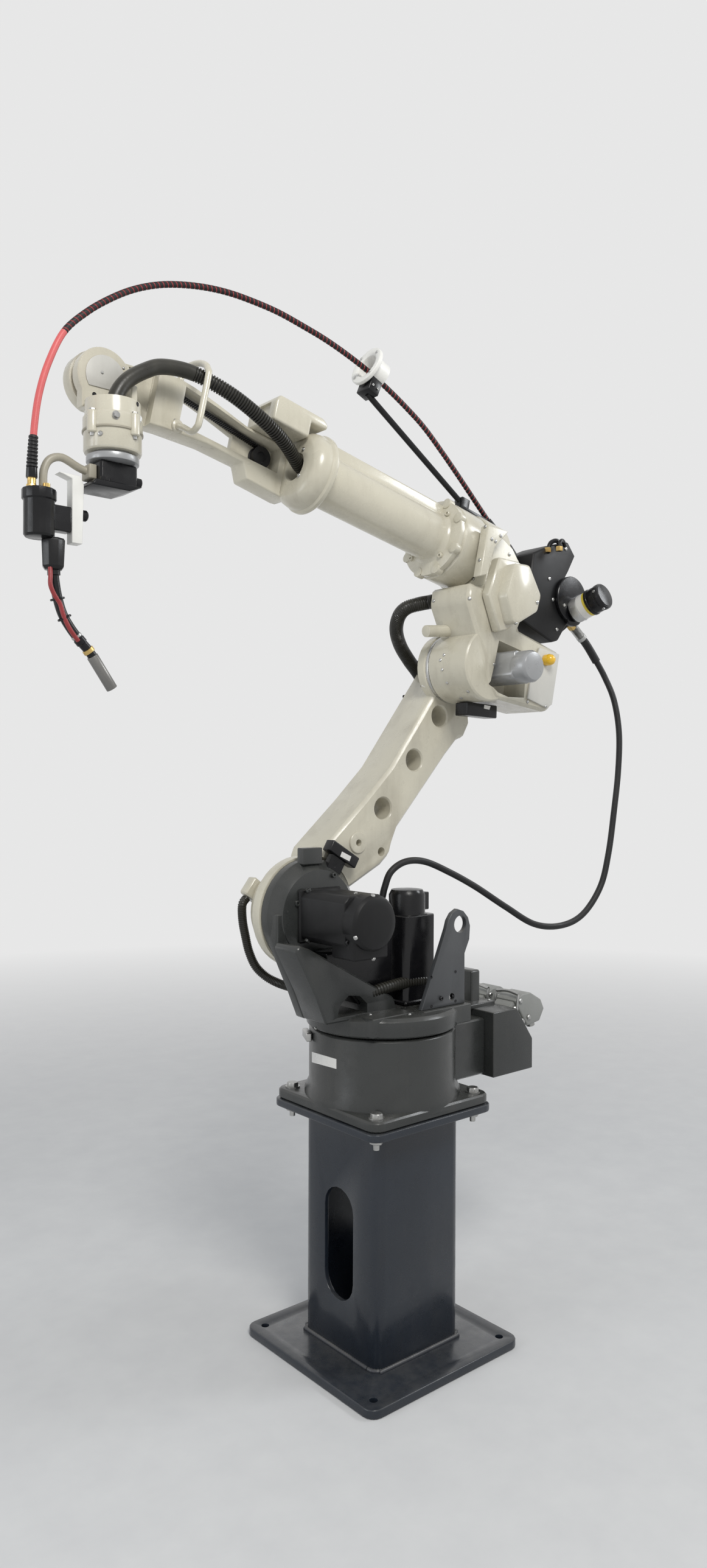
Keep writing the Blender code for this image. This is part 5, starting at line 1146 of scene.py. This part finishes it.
strip("base_strip", ((513, 1728), (553, 1740), (553, 1756), (513, 1745)), "base_casting")
strip("arm_strip", ((712, 1082), (717, 1083), (699, 1129), (693, 1127)), "lower_arm")
strip("shoulder_switch_label", ((562, 1399), (577, 1407), (574, 1415), (559, 1407)), "shoulder_switch")
strip("elbow_switch_label", ((796, 1158), (806, 1160), (804, 1166), (795, 1164)), "elbow_switch")

# The ribbed sleeve across the swivel and the dark housing under the shoulder motor
sleeve = Path(mm((92, 58, 836), (60, 60, 842), (20, 60, 846), (-20, 60, 848), (-52, 60, 848), (-78, 60, 846)))
cord_piece("swivel_sleeve", sleeve, 0, sleeve.length, ribs(0, sleeve.length, 0.0137, 0.012, 0.008),
    ("swivel",), ["conduit"], [], sides=22)
housing = prism(mm((12, 800), (112, 812), (150, 850), (205, 905), (205, 936.5), (130, 936.5), (95, 925), (60, 960),
    (12, 960)), -0.004, 0.046, WORLD, 0.004, 3)
piece(housing, "shoulder_motor_housing", "swivel", ["black"], (), 0.001)
add_turned("lamp_socket", "elbow", ["black"], [(mm((0, 0), (13.5, 0), (13.5, 4), (11.5, 6), (0, 6)),
    trees["elbow_casting"].ray_cast(at(-460.5, 120, 1624.5) + Y * 0.06, -Y, 0.12)[0], Y, 32)])


# Two short air hoses on the wire feeder's top, from their brass fittings
build = bmesh.new()
spot = seen_at(900, 905, ("wire_feeder",))[0]
for radius, points in ((0.006, mm((0, 0, -4), (-12, 0, 22), (-34, 4, 30), (-52, 4, 14))), (0.005, mm((-10, 30, -4),
        (-14, 30, 20), (-30, 26, 26), (-46, 20, 16)))):
    bend = Path([tuple(spot + Vector(p)) for p in points], 8)
    sweep(build, bend, even(0, bend.length, radius, 0.004))
for place in (spot, spot + at(-10, 30, 0)):
    lathe_into(build, mm((0, -4), (9.5, -4), (9.5, 6), (8, 8), (0, 8)), place, Z, 6, 1)
finished("feeder_air_fittings", build, ["black", "brass"], "elbow")


# Bare floor, light and backdrop
def mixed(tree, out, share, one, two):
    """Shows one of two shaders, or some of both, by a share."""
    mix = add(tree, "MixShader")
    for place, source in enumerate((share, one.outputs[0], two.outputs[0])):
        wire(tree, source, mix.inputs[place])
    wire(tree, mix.outputs[0], out.inputs[0])


def stage_floor():
    made, tree = nodes_of("floor_paint")
    out = add(tree, "OutputMaterial")
    shader = add(tree, "BsdfPrincipled")
    coord = add(tree, "TexCoord")
    cloud = noise(tree, coord.outputs["Object"], 9, 6, 0.6)
    wire(tree, blended(tree, ranged(tree, cloud, 0.3, 0.7, 0, 1), (0.7, 0.7, 0.7), (0.745, 0.745, 0.74)),
        shader.inputs["Base Color"])
    shader.inputs["Roughness"].default_value = 0.7
    glow = add(tree, "Emission", Color=(0.8, 0.8, 0.8, 1))
    far = add(tree, "VectorMath")
    far.operation = "LENGTH"
    wire(tree, coord.outputs["Object"], far.inputs[0])
    mixed(tree, out, ranged(tree, far.outputs["Value"], 1.6, 6, 0, 1), shader, glow)
    build = bmesh.new()
    bmesh.ops.create_circle(build, cap_ends=True, segments=96, radius=30)
    mesh = bpy.data.meshes.new("floor")
    build.to_mesh(mesh)
    build.free()
    mesh.materials.append(made)
    floor = bpy.data.objects.new("floor", mesh)
    scene.collection.objects.link(floor)
    floor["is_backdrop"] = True


stage_floor()
sky = bpy.data.worlds.new("room")
sky.use_nodes = True
scene.world = sky
tree = sky.node_tree
tree.nodes.clear()
out = add(tree, "OutputWorld")
seen = add(tree, "LightPath")
plain = add(tree, "Background", Color=(0.93, 0.96, 1, 1), Strength=0.42)
wall = add(tree, "Background", Color=(0.8, 0.8, 0.8, 1), Strength=1)
shown = times(tree, times(tree, seen.outputs["Is Camera Ray"], seen.outputs["Is Glossy Ray"], "ADD"),
    seen.outputs["Is Transmission Ray"], "ADD")
mixed(tree, out, shown, plain, wall)


def lamp(name, spot, aim, size, power, colour=(1, 1, 1)):
    light = bpy.data.lights.new(name, "AREA")
    light.shape = "DISK"
    light.size = size
    light.energy = power
    light.color = colour
    made = bpy.data.objects.new(name, light)
    scene.collection.objects.link(made)
    made.location = spot
    made.rotation_euler = (Vector(aim) - Vector(spot)).to_track_quat("-Z", "Y").to_euler()


lamp("key", (1.2, 2.6, 3.9), (0.1, 0, 1.5), 1.3, 78, (1, 0.985, 0.95))
lamp("fill", (3.6, -0.6, 2), (0.1, 0, 1.3), 1.8, 26, (0.92, 0.96, 1))
lamp("rear", (-2.6, 1.6, 3.2), (-0.1, 0, 1.4), 1.2, 30, (0.94, 0.97, 1))

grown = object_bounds()
